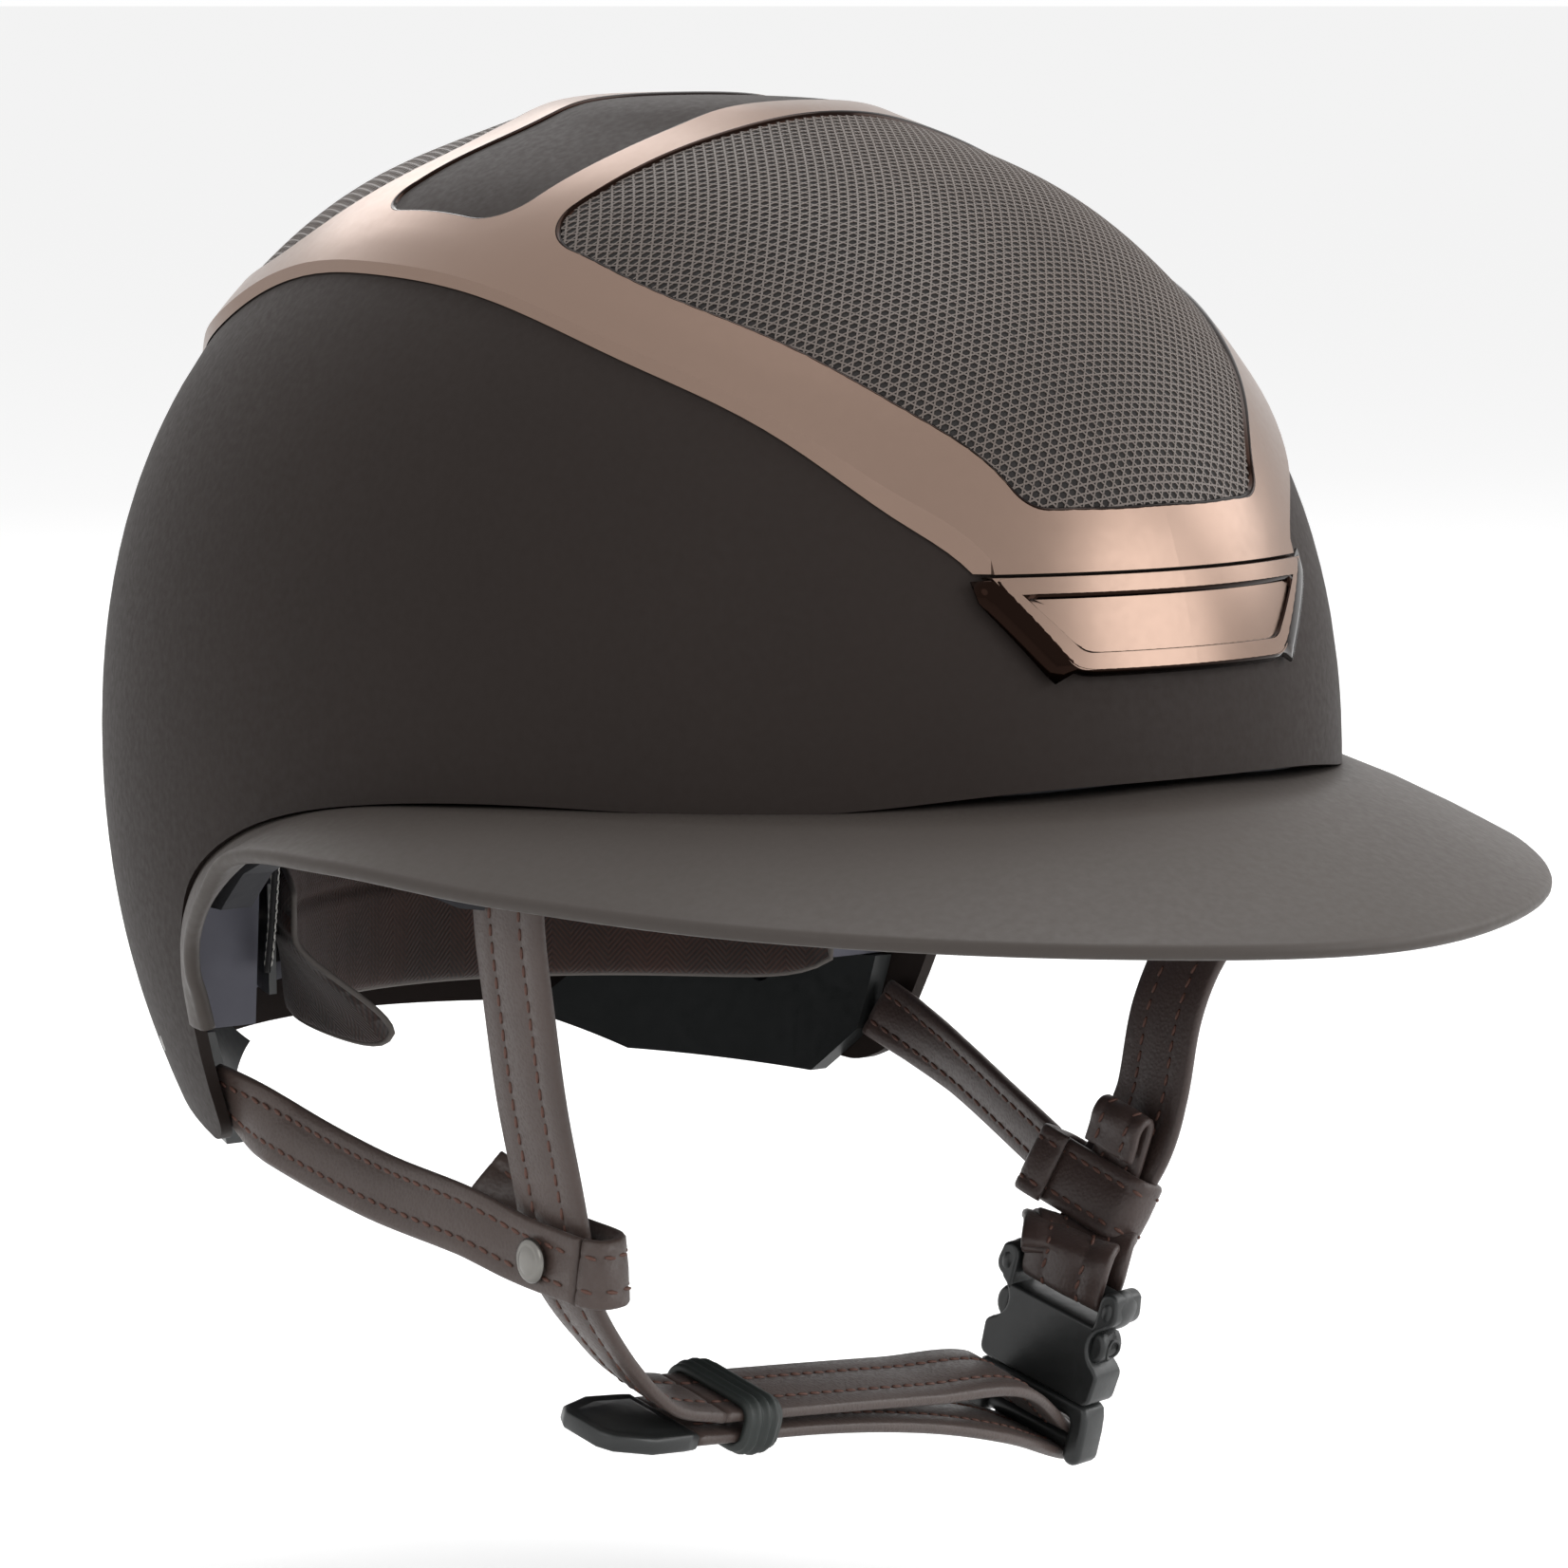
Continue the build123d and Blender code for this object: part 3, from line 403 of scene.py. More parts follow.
def sweep(stations, section, closed=False, paints=None,
          widen=None):  # section is a closed ring of (across, out) in mm
    bm = bmesh.new()
    ring = bm.verts.layers.int.new("ring")
    run = bm.verts.layers.float.new("run")

    def settle(v, k):
        spot, across, out, along = stations[k]
        a, h = section[v[ring]]
        factor = widen(k) if widen else 1.0
        v.co = spot + across * (a * factor * mm) + out * (h * mm)

    first = [bm.verts.new((0, 0, 0)) for pair in section]
    for i, v in enumerate(first):
        v[ring] = i
        settle(v, 0)
    edges = [bm.edges.new((first[i - 1], first[i])) for i in range(len(first))]
    startEdges = edges[:]
    travelled = 0.0
    lastVerts = first
    for k in range(1, len(stations)):
        grown = bmesh.ops.extrude_edge_only(bm, edges=edges)["geom"]
        lastVerts = [g for g in grown if isinstance(g, bmesh.types.BMVert)]
        edges = [g for g in grown if isinstance(g, bmesh.types.BMEdge) and g.is_boundary]
        travelled += (stations[k][0] - stations[k - 1][0]).length
        for v in lastVerts:
            settle(v, k)
            v[run] = travelled
    if closed:
        bmesh.ops.bridge_loops(bm, edges=startEdges + edges)
    else:
        bm.faces.new(first)
        bm.faces.new(sorted(lastVerts, key=lambda v: v[ring]))
    reach = [0.0]
    for (a, h), (c, d) in zip(section, section[1:]):
        reach.append(reach[-1] + math.hypot(c - a, d - h) * mm)
    uv = bm.loops.layers.uv.new("UVMap")
    for face in bm.faces:
        rings = [loop.vert[ring] for loop in face.loops]
        wraps = max(rings) - min(rings) > 1 and len(face.loops) == 4
        for loop in face.loops:
            spotAround = reach[loop.vert[ring]]
            if wraps and loop.vert[ring] == 0:
                spotAround = reach[-1] + 0.0005
            loop[uv].uv = (loop.vert[run], spotAround)
        if paints and len(face.loops) == 4:
            face.material_index = paints(min(rings), wraps)
    bmesh.ops.recalc_face_normals(bm, faces=bm.faces)
    return bm


def strapSection(width, thickness, seam):  # rounded edges, a raised middle and a groove for each stitch row
    w, t = width / 2, thickness / 2
    top = [(-w, 0.0), (-w + 0.15, t * 0.55), (-w + 0.7, t * 0.92), (-seam - 0.7, t), (-seam, t - 0.28),
           (-seam + 0.7, t), (0, t + 0.1), (seam - 0.7, t), (seam, t - 0.28), (seam + 0.7, t),
           (w - 0.7, t * 0.92), (w - 0.15, t * 0.55), (w, 0.0)]
    return top + [(a, -h) for a, h in reversed(top[1:-1])]


def stitches(bm, stations, seam, lift, pitch=3.4, skip=2.0):  # two rows of slanted stitches on both faces
    travelled, due = 0.0, skip
    total = sum((b[0] - a[0]).length for a, b in zip(stations, stations[1:])) / mm
    for (spotA, acrossA, outA, alongA), (spotB, *rest) in zip(stations, stations[1:]):
        length = (spotB - spotA).length / mm
        while due < travelled + length and due < total - skip:
            spot = spotA.lerp(spotB, (due - travelled) / length)
            for side in (-1, 1):
                for face in (-1, 1):
                    slant = (alongA + acrossA * 0.16 * face).normalized()
                    centre = spot + acrossA * (side * seam * mm) + outA * (face * lift * mm)
                    turn = Matrix((slant, slant.cross(outA), outA)).transposed().to_4x4()
                    size = Matrix.Diagonal((pitch * 0.4 * mm, 0.42 * mm, 0.34 * mm, 1))
                    bmesh.ops.create_uvsphere(bm, u_segments=6, v_segments=5, radius=1,
                                              matrix=Matrix.Translation(centre) @ turn @ size)
            due += pitch
        travelled += length


def makeStrap(name, body, stands, corners, width=20.0, thickness=2.4, seam=4.4, paint=None, step=1.5):
    stations = routePoints(corners, step)
    band = keep(sweep(stations, strapSection(width, thickness, seam)), name, [paint or strapPaint])
    place(band, body, "strap_leather", *stands)
    bm = bmesh.new()
    stitches(bm, stations, seam, thickness / 2 - 0.1)
    thread = keep(bm, name + "_stitching", [threadPaint])
    place(thread, body, "strap_leather")
    return stations


foreAft = (0, 1, 0)
chinLean = (0, 0.966, 0.259)
makeStrap("right_front_strap_leather", "root", ["right_front_strap"], [
    ((-94.5, -56.0, -9), foreAft), ((-94.2, -56.3, -24), foreAft), ((-92, -56, -38), foreAft),
    ((-88.4, -55.3, -57), foreAft), ((-84.4, -54.8, -73), foreAft), ((-82, -54.5, -83), foreAft),
    ((-79.6, -54.3, -93), (0.1, 0.99, 0)), ((-70, -53.8, -106), (0.15, 0.97, 0.1)),
    ((-58, -52, -116), (0.1, 0.97, 0.22)), ((-46, -50, -119.2), chinLean)])
makeStrap("right_rear_strap_leather", "root", ["right_rear_strap"], [
    ((-84.6, 47.2, -67.8), (-0.35, 0.05, 0.93)), ((-86.2, 25.2, -73.5), (0.5, 0.1, 0.86)),
    ((-87.2, -5.2, -79.2), (0.5, 0.1, 0.86)), ((-87.6, -34.9, -82.6), (0.2, 0.1, 0.97)),
    ((-86.4, -50, -86), (0.05, 0.1, 1)), ((-85.8, -66, -88), (0, 0.1, 1))], width=13, seam=3.2)
makeStrap("snap_tail_leather", "strap_tail", ["snap_tail"], [
    ((-85.6, -66.5, -88), (0, 0.1, 1)), ((-84.4, -68.9, -88.3), (0, 0.1, 1)),
    ((-82.0, -70.0, -88.4), (0, 0.1, 1)),
    ((-78.6, -69.4, -88.2), (0, 0.1, 1)), ((-76.0, -65.6, -87.8), (0, 0.1, 1)),
    ((-75.2, -52, -86.6), (0, 0.1, 1)),
    ((-75.6, -42, -84), (0, 0.2, 1)), ((-77.2, -34, -79), (0, 0.5, 0.86)),
    ((-79.9, -29, -75.5), (0, 0.6, 0.8))],
    width=13, seam=3.2)
makeStrap("left_front_strap_leather", "root", ["left_front_strap"], [
    ((94.5, -56.0, -9), foreAft), ((94.3, -55.8, -26), foreAft), ((89, -46, -43), foreAft),
    ((84, -43, -57), foreAft), ((80.9, -41.7, -74.5), foreAft), ((78.9, -39, -84.2), (-0.05, 0.98, 0.15)),
    ((75.6, -35.6, -92), (-0.1, 0.95, 0.3))], paint=strapShadedLeather)
makeStrap("left_rear_strap_leather", "root", ["left_rear_strap"], [
    ((84.8, 47.2, -66.6), (0.35, 0.05, 0.93)), ((84.8, 36, -70.4), (0.15, 0.35, 1)),
    ((83, 20, -75.6), (0, 0.35, 1)),
    ((79, -4, -84.4), (0, 0.4, 1)), ((77, -16.6, -89.2), (0, 0.4, 1))], width=13, seam=3.2, paint=strapShadedLeather)
print("harness straps are made")


# Edges of the vent frame and the brow plate, found on the frame's own mesh; the strips' near-black metal is
# painted reflection of dark surroundings
domeSize = dict(halfWidth=108.5, halfLength=140.0, height=125.5, power=2.15)


def domeOut(spot):  # the direction straight out of the shell at a place above its rim
    p = domeSize["power"]
    w, l, h = (domeSize[key] * mm for key in ("halfWidth", "halfLength", "height"))
    plan = max((spot.x / w) ** 2 + (spot.y / l) ** 2, 1e-6)
    rise = (max(spot.z, 0) / h) ** (p - 1) / h
    around = plan ** (p / 2 - 1)
    return Vector((around * spot.x / w ** 2, around * spot.y / l ** 2, rise)).normalized()


def outerFaces(node, least=0.6):  # a merged copy of a node, and a tree of only its outer faces
    bm = bmesh.new()
    bm.from_mesh(nodes[node].data)
    bmesh.ops.remove_doubles(bm, verts=bm.verts, dist=2e-5)
    bm.normal_update()
    outer = [f for f in bm.faces if f.normal.dot(domeOut(f.calc_center_median())) > least]
    return bm, outer


def treeOf(faces):
    corners, triangles = [], []
    for face in faces:
        start = len(corners)
        corners += [v.co.copy() for v in face.verts]
        triangles.append(tuple(range(start, start + len(face.verts))))
    return BVHTree.FromPolygons(corners, triangles)


def topLoops(node):  # closed lines where the outer face of a node meets its sides
    bm, outer = outerFaces(node)
    outerSet = set(outer)
    tops = {f for f in outer if f.normal.dot(domeOut(f.calc_center_median())) > 0.9}
    sharp = set()
    for edge in bm.edges:
        if len(edge.link_faces) == 2 and sum(f in tops for f in edge.link_faces) == 1:
            side = [f for f in edge.link_faces if f not in tops][0]
            if side.normal.dot(domeOut(edge.verts[0].co)) < 0.5:
                sharp.add(edge)
    loops = []
    while sharp:
        edge = sharp.pop()
        line = [edge.verts[0], edge.verts[1]]
        growing = True
        while growing:
            growing = False
            for other in line[-1].link_edges:
                if other in sharp:
                    sharp.discard(other)
                    line.append(other.other_vert(line[-1]))
                    growing = True
                    break
        if len(line) > 30 and line[0] == line[-1]:
            loops.append([v.co.copy() for v in line[:-1]])
    tree = treeOf(outerSet)
    bm.free()
    return loops, tree


def evenLoop(loop, step=1.6, rounds=2):  # evenly spaced points on a closed line, smoothed a little
    closed = loop + [loop[0]]
    total = sum((b - a).length for a, b in zip(closed, closed[1:]))
    count = int(total / (step * mm))
    points, travelled, due = [], 0.0, 0.0
    for a, b in zip(closed, closed[1:]):
        length = (b - a).length
        while length > 0 and due < travelled + length and len(points) < count:
            points.append(a.lerp(b, (due - travelled) / length))
            due += total / count
        travelled += length
    for turn in range(rounds):
        points = [(points[i - 1] + points[i] * 2 + points[(i + 1) % count]) / 4 for i in range(count)]
    return points


def edgeStrips(node, name, section, widthAt, paint, body="root"):
    loops, tree = topLoops(node)
    made = []
    for number, loop in enumerate(loops):
        line = evenLoop(loop)
        count = len(line)
        outs = [domeOut(spot) for spot in line]
        widths, votes = [], 0
        for i in range(count):
            along = (line[(i + 1) % count] - line[i - 1]).normalized()
            widths.append(along.cross(outs[i]).normalized())
            probe = line[i] + widths[i] * 1.2 * mm
            near = tree.find_nearest(probe)[0]
            votes += 1 if near is not None and (near - probe).length > 0.5 * mm else -1
        sign = 1 if votes > 0 else -1
        stations = []
        for i in range(count):
            along = (line[(i + 1) % count] - line[i - 1]).normalized()
            stations.append((line[i], widths[i] * sign, outs[i], along))
        factors = [widthAt(stations[i][0], stations[i][1], number) for i in range(count)]
        strip = sweep(stations, section, closed=True, widen=lambda k: factors[k])
        made.append(place(keep(strip, f"{name}_{number + 1}", [paint]), body, "rose_metal"))
    print(name, "has", len(made), "strips")
    return made


chamfer = dict(width=1.5, drop=1.25, deep=1.75)
chamferRing = [(-0.5, -0.06), (0.0, 0.03), (chamfer["width"] * 0.5, -0.35),
               (chamfer["width"], -chamfer["drop"]),
               (chamfer["width"], -chamfer["deep"]), (-0.5, -chamfer["deep"])]


# the painted dark reflection strip is widened along the frame's lower front edge near the plate
def frameEdgeWidth(spot, across, number):
    outward = across.x * spot.x + across.y * spot.y > 0 and abs(spot.x) > 0.03
    low = max(0.0, min(1.0, (0.085 - spot.z) / 0.045)) if spot.y < 0 else 0.0
    if outward and domeSize["halfWidth"] * mm * 0.52 < abs(spot.x) + 0.25 * abs(spot.y):
        return 0.6 + 2.2 * low
    return 0.75


# wide painted dark reflection facets down the sides of the plate
def plateEdgeWidth(spot, across, number):
    if across.z > 0.5:
        return 0.18
    return 3.2 if across.z > -0.85 else 0.8


edgeStrips("vent_frame", "vent_frame_polished_edge", chamferRing, frameEdgeWidth, chamferReflectionPaint)
edgeStrips("front_plate", "front_plate_polished_edge", chamferRing, plateEdgeWidth, chamferReflectionPaint)


# Grilles: a real perforated sheet laid on the panel's face
grille = dict(pitch=2.05, rowPitch=1.55, hole=0.66, thickness=0.45, lift=0.12, tilt=32.1, doublings=6)


def makeGrille(node, name, forward):
    pitch, rowPitch = grille["pitch"] * mm, grille["rowPitch"] * mm
    tilt = math.radians(grille["tilt"])
    upward = Vector((0, -forward * math.sin(tilt) * 1.17, math.cos(tilt))).normalized()
    crosswise = Vector((1, 0, 0))
    slopeWise = upward.cross(crosswise)
    bm = bmesh.new()
    for column, row in ((0, 0), (0.5, 1)):
        bmesh.ops.create_circle(bm, segments=6, radius=1, cap_ends=True,
                                matrix=Matrix.Translation((column * pitch, row * rowPitch, 0))
                                @ Matrix.Diagonal((pitch / math.sqrt(3), rowPitch / 1.5, 1, 1))
                                @ Matrix.Rotation(math.radians(30), 4, "Z"))
    ringLayer = bm.faces.layers.int.new("hole")
    for face in bm.faces[:]:
        face[ringLayer] = 0
    whole = bm.faces[:]
    bmesh.ops.inset_individual(bm, faces=whole, thickness=pitch * (1 - grille["hole"]) * 0.5, depth=0)
    for face in whole:
        face[ringLayer] = 1
    steps = [(pitch * 2 ** k, 0.0) for k in range(grille["doublings"] + 1)]
    steps += [(0.0, 2 * rowPitch * 2 ** k) for k in range(grille["doublings"])]
    for dx, dy in steps:
        grown = bmesh.ops.duplicate(bm, geom=bm.verts[:] + bm.edges[:] + bm.faces[:])["geom"]
        bmesh.ops.translate(bm, vec=(dx, dy, 0),
                            verts=[g for g in grown if isinstance(g, bmesh.types.BMVert)])
    copy, outer = outerFaces(node)
    tree = treeOf(outer)
    low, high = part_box(node)
    centre = (low + high) / 2
    sheetWide = pitch * 2 ** (grille["doublings"] + 1)
    sheetTall = 2 * rowPitch * 2 ** grille["doublings"]
    for v in bm.verts:
        flat = crosswise * (v.co.x - sheetWide / 2) + slopeWise * (v.co.y - sheetTall / 2)
        start = centre + flat + upward * 0.09
        hit = tree.ray_cast(start, -upward)
        v.tag = hit[0] is not None
        if v.tag:
            v.co = hit[0]
        else:
            v.co = centre + flat
    stray = [f for f in bm.faces if not all(v.tag for v in f.verts)]
    bmesh.ops.delete(bm, geom=stray, context="FACES")
    bmesh.ops.remove_doubles(bm, verts=bm.verts, dist=3e-5)
    lift, drop = (grille["lift"] + 0.1) * mm, grille["thickness"] * mm
    holes = [f for f in bm.faces if f[ringLayer] == 1]
    for v in bm.verts:
        v.co += domeOut(v.co) * lift
    grown = bmesh.ops.extrude_discrete_faces(bm, faces=holes)["faces"]
    for face in grown:
        for v in face.verts:
            v.co -= domeOut(v.co) * drop
    bmesh.ops.delete(bm, geom=grown, context="FACES_ONLY")
    copy.free()
    made = keep(bm, name, [grillePaint], smooth=False)
    place(made, "root", "grille_mesh")
    print(name, "has", len(made.data.polygons), "faces")
    return made


makeGrille("front_mesh", "front_mesh_perforated", 1)
makeGrille("rear_mesh", "rear_mesh_perforated", -1)
# the CAD panels under the perforated sheets are coloured near-black as painted shade behind the holes
for nodeName in ("front_mesh", "rear_mesh"):
    nodes[nodeName].data.materials[0] = grilleHoleShadePaint

# Brim
brim = dict(thickness=3.2, tuck=3.5)
brimTip = 195.0
brimEdge = 127.0
brimSections = [  # root on the shell, edge
    ((0, -138.5, 2.9), (0, -brimTip, -20)),
    ((36, -130, 1.6), (0.43 * brimEdge, -0.905 * brimTip, -18.5)),
    ((66, -109, 0.2), (0.765 * brimEdge, -0.675 * brimTip, -16.5)),
    ((87, -81, -0.6), (0.935 * brimEdge, -0.42 * brimTip, -13.5)),
    ((100, -50, -1.8), (0.995 * brimEdge, -0.205 * brimTip, -10.5)),
    ((106, -22, -4.0), (0.96 * brimEdge, -0.02 * brimTip, -13)),
    ((107.4, 2, -9.5), (116.5, 13, -24)),
    ((105.8, 21, -18.0), (110.0, 25.5, -34)),
    ((102.6, 33.5, -28.5), (105.6, 31, -42)),
    ((99.8, 38.8, -40), (102.4, 32.8, -47)),
    ((96.6, 40.6, -52), (99.8, 33.8, -53)),
]


def bothSides(points):
    return [(-x, y, z) for x, y, z in reversed(points[1:])] + points


def smoothLine(points, perSpan):
    spots = [vec(*spot) for spot in points]
    line = []
    for i in range(len(spots) - 1):
        a, b = spots[i], spots[i + 1]
        before = spots[i - 1] if i else a - (b - a)
        after = spots[i + 2] if i + 2 < len(spots) else b + (b - a)
        span = (b - a).length
        run = interpolate_bezier(a, a + (b - before).normalized() * span / 3,
                                 b - (after - a).normalized() * span / 3, b, perSpan + 1)
        line += [spot.copy() for spot in run[:perSpan]]
    return line + [spots[-1]]


def makeBrim():
    roots = smoothLine(bothSides([root for root, edge in brimSections]), 12)
    edges = smoothLine(bothSides([edge for root, edge in brimSections]), 12)
    t = brim["thickness"]
    shares = [0.0, 0.25, 0.5, 0.75, 0.9, 1.0]
    bm = bmesh.new()
    ringSize = 2 * len(shares) + 5
    number = bm.verts.layers.int.new("ring")
    ring = [bm.verts.new((0, 0, 0)) for i in range(ringSize)]
    for i, v in enumerate(ring):
        v[number] = i

    def settle(v, k):
        root, edge = roots[k], edges[k]
        outward = (edge - root).normalized()
        reach = (edge - root).length - t / 2 * mm
        lift = outward.cross((roots[min(k + 1, len(roots) - 1)] - roots[max(k - 1, 0)])).normalized()
        if lift.dot(Vector((root.x, 0, 0.06))) < 0:  # up at the brow, out to the side at the feet
            lift = -lift
        i = v[number]
        bow = 1.1 * mm
        if i < len(shares):
            share = shares[i]
            spot = root + outward * (reach * share - brim["tuck"] * mm * (1 - share))
            v.co = spot + lift * (math.sin(share * math.pi) * bow)
        elif i < len(shares) + 5:
            turn = math.pi * (i - len(shares) + 1) / 6
            v.co = (root + outward * (reach + math.sin(turn) * t / 2 * mm)
                    + lift * ((math.cos(turn) - 1) * t / 2 * mm))
        else:
            share = shares[ringSize - 1 - i]
            spot = root + outward * (reach * share - brim["tuck"] * mm * (1 - share))
            v.co = spot + lift * (math.sin(share * math.pi) * bow - t * mm)

    for v in ring:
        settle(v, 0)
    cap = bm.faces.new(ring)
    loopEdges = list(cap.edges)
    last = ring
    for k in range(1, len(roots)):
        grown = bmesh.ops.extrude_edge_only(bm, edges=loopEdges)["geom"]
        last = [g for g in grown if isinstance(g, bmesh.types.BMVert)]
        loopEdges = [g for g in grown if isinstance(g, bmesh.types.BMEdge) and g.is_boundary]
        for v in last:
            settle(v, k)
    bm.faces.new(sorted(last, key=lambda v: v[number]))
    bmesh.ops.recalc_face_normals(bm, faces=bm.faces)
    place(keep(bm, "brim_soft_cover", [brimPaint]), "root", "trim_soft", "brim")


makeBrim()
print("frame edges, grilles and brim are made")

# Buckle space: across, out of its face, and down from its top, in mm
buckleUp = Vector((0.039, -0.309, 0.951)).normalized()
buckleAcross = Vector((0.2, -0.93, -0.31))
buckleAcross = (buckleAcross - buckleUp * buckleAcross.dot(buckleUp)).normalized()
buckleFace = buckleAcross.cross(buckleUp)
buckleTop = (62.8, -38.8, -107.4)


def buckleSpot(across, out, down):
    return vec(*buckleTop) + (buckleAcross * across + buckleFace * out - buckleUp * down) * mm


def inMm(spot):
    return tuple(spot / mm)


barBend = dict(upperDown=2.3, lowerDown=35.0, radius=3.1)


def bendSpots(down, angles):
    spots = []
    for angle in angles:
        turn = math.radians(angle)
        spots.append(inMm(buckleSpot(0, barBend["radius"] * math.sin(turn),
                                     down + barBend["radius"] * math.cos(turn))))
    return spots


# Chin strap: one band, out to the buckle's bar and back
keeperStart = Vector((-45.6, -49.95, -119.25))
keeperEnd = Vector((-14, -46.6, -121.8))
keeperAxis = (keeperEnd - keeperStart).normalized()
strandStep = keeperAxis.cross(Vector(chinLean)).normalized() * 4.4
barAcross = tuple(-buckleAcross)
chinRoute = [(tuple(keeperStart), chinLean), (tuple(keeperEnd), chinLean), ((15, -42.5, -124.5), chinLean),
             ((42, -38, -127.2), chinLean)]
chinRoute += [(spot, barAcross) for spot in bendSpots(barBend["lowerDown"], (165, 205, 245, 285, 325, 365))]
chinRoute += [((40.5, -35.6, -136.7), chinLean), ((15, -41, -130.5), chinLean),
              (tuple(keeperEnd - strandStep), chinLean),
              (tuple(keeperStart - strandStep - keeperAxis * 6), chinLean)]
chinStations = routePoints(chinRoute, 1.5)
chinSize = dict(width=20, thickness=2.4, seam=4.4)
chinBand = keep(sweep(chinStations, strapSection(**chinSize)), "chin_strap_leather", [strapPaint])
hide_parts("chin_strap_upper", "chin_strap_lower", "chin_strap_turn")
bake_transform(chinBand)
threadMesh = bmesh.new()
stitches(threadMesh, chinStations, chinSize["seam"], 1.1)
chinThread = keep(threadMesh, "chin_strap_stitching", [threadPaint])
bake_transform(chinThread)

# Loop that gathers the left straps, the strap's end above it and the buckle's own strap
loopCentre = Vector((73.2, -32.5, -93.6))
loopUp = Vector((0.35, -0.27, 0.9)).normalized()
loopAcross = Vector((0.1, -0.95, -0.3))
loopAcross = (loopAcross - loopUp * loopAcross.dot(loopUp)).normalized()
loopOut = loopUp.cross(loopAcross)
loopSize = dict(length=29.0, thickness=10.0, height=14.0, leather=2.2)


def loopSpot(across, out, up):
    return (loopCentre + loopAcross * across + loopOut * out + loopUp * up) * mm


def ringStations(half, short, corner, spotAt, axis,
                 perCorner=7):  # a rounded rectangle of stations round an axis
    line = []
    for cx, cy, start in ((half - corner, short - corner, 0), (corner - half, short - corner, 90),
                          (corner - half, corner - short, 180), (half - corner, corner - short, 270)):
        for k in range(perCorner):
            turn = math.radians(start + 90 * k / (perCorner - 1))
            line.append(spotAt(cx + corner * math.cos(turn), cy + corner * math.sin(turn)))
    filled = []
    for i, spot in enumerate(line):
        following = line[(i + 1) % len(line)]
        gap = (following - spot).length
        pieces = max(1, int(gap / (1.6 * mm)))
        filled += [spot.lerp(following, k / pieces) for k in range(pieces)]
    middle = sum(filled, Vector()) / len(filled)
    stations = stationsOf(filled, [axis] * len(filled), closed=True)
    if (stations[0][0] - middle).dot(stations[0][2]) < 0:
        stations = stationsOf(filled, [-axis] * len(filled), closed=True)
    return stations


loopStations = ringStations(loopSize["length"] / 2 - 1.1, loopSize["thickness"] / 2 - 1.1, 3.2,
                            lambda a, b: loopSpot(a, b, 0), loopUp)
loopSeam = 4.2
loopBand = sweep(loopStations, strapSection(loopSize["height"], loopSize["leather"], loopSeam), closed=True)
place(keep(loopBand, "left_keeper_loop_leather", [strapShadedLeather]), "root", "strap_leather", "left_keeper_loop")
threadMesh = bmesh.new()
stitches(threadMesh, loopStations + loopStations[:1], loopSeam, 1.0)
place(keep(threadMesh, "left_keeper_loop_stitching", [threadPaint]), "root", "strap_leather")

foldAcross = tuple(loopAcross)
rollLine = [(-1.6, -2), (-2.0, 7), (-3.4, 12), (-4.6, 16), (-5.9, 18), (-7.7, 17.4), (-8.1, 15),
            (-7.2, 12.6), (-6.2, 9)]
makeStrap("left_strap_end_rolled", "root", ["left_strap_end"],
          [(inMm(loopSpot(4, out, up)), foldAcross) for out, up in rollLine],
          width=13, thickness=2.0, seam=3.4, paint=strapShadedLeather, step=0.9)
doubledLine = [(-13.4, -1.0), (-13.2, -5.0), (-11.2, -5.9), (-7.6, -6.0), (-6.4, -5.6)]
makeStrap("left_loop_end_doubled", "root", [],
          [(inMm(loopSpot(a, h, 0)), tuple(loopUp)) for a, h in doubledLine],
          width=14.6, thickness=1.6, seam=4.4, paint=strapShadedLeather, step=0.8)

loopFoot = loopCentre - loopUp * (loopSize["height"] / 2 + 1.2)
legSpread = buckleFace * 1.5
acrossPlain = tuple(buckleAcross)
upperBend = [(spot, acrossPlain) for spot in bendSpots(barBend["upperDown"], (-95, -50, 0, 50, 95))]
makeStrap("buckle_strap_leather", "root", ["buckle_strap"],
          [(tuple(loopFoot - legSpread), acrossPlain),
           (inMm(buckleSpot(0, -3.1, -4)), acrossPlain)] + upperBend
          + [(inMm(buckleSpot(0, 3.1, -4)), acrossPlain), (tuple(loopFoot + legSpread), acrossPlain)],
          paint=strapShadedLeather, step=0.9)
print("chin strap, loops and buckle strap are made")


# Side-release buckle
def arcSpots(across, down, radius, start, end, count):
    turns = [math.radians(start + (end - start) * k / (count - 1)) for k in range(count)]
    return [(across + radius * math.cos(turn), down + radius * math.sin(turn)) for turn in turns]


def plateFrom(outline, low, high, bevel, segments=3,
              bm=None):  # an outline thickened through the buckle's face
    bm = bm or bmesh.new()
    corners = [bm.verts.new(buckleSpot(a, low, d)) for a, d in outline]
    base = bm.faces.new(corners)
    grown = bmesh.ops.extrude_face_region(bm, geom=[base])["geom"]
    lifted = [g for g in grown if isinstance(g, bmesh.types.BMVert)]
    bmesh.ops.translate(bm, vec=buckleFace * ((high - low) * mm), verts=lifted)
    linked = list({f for v in corners + lifted for f in v.link_faces})
    bmesh.ops.recalc_face_normals(bm, faces=linked)
    broad = [f for f in linked if abs(f.normal.dot(buckleFace)) > 0.9]
    rimEdges = list({e for f in broad for e in f.edges})
    bevelled = bmesh.ops.bevel(bm, geom=rimEdges, offset=bevel * mm, segments=segments, profile=0.5,
                               affect="EDGES", material=-1, clamp_overlap=True)
    flats = [f for f in {f for new in bevelled["faces"] for e in new.edges for f in e.link_faces}
             if abs(f.normal.dot(buckleFace)) > 0.999 and len(f.verts) > 6]
    bmesh.ops.inset_region(bm, faces=flats, thickness=0.12 * mm,
                           depth=0)  # a rim that keeps the flats' shading flat
    return bm


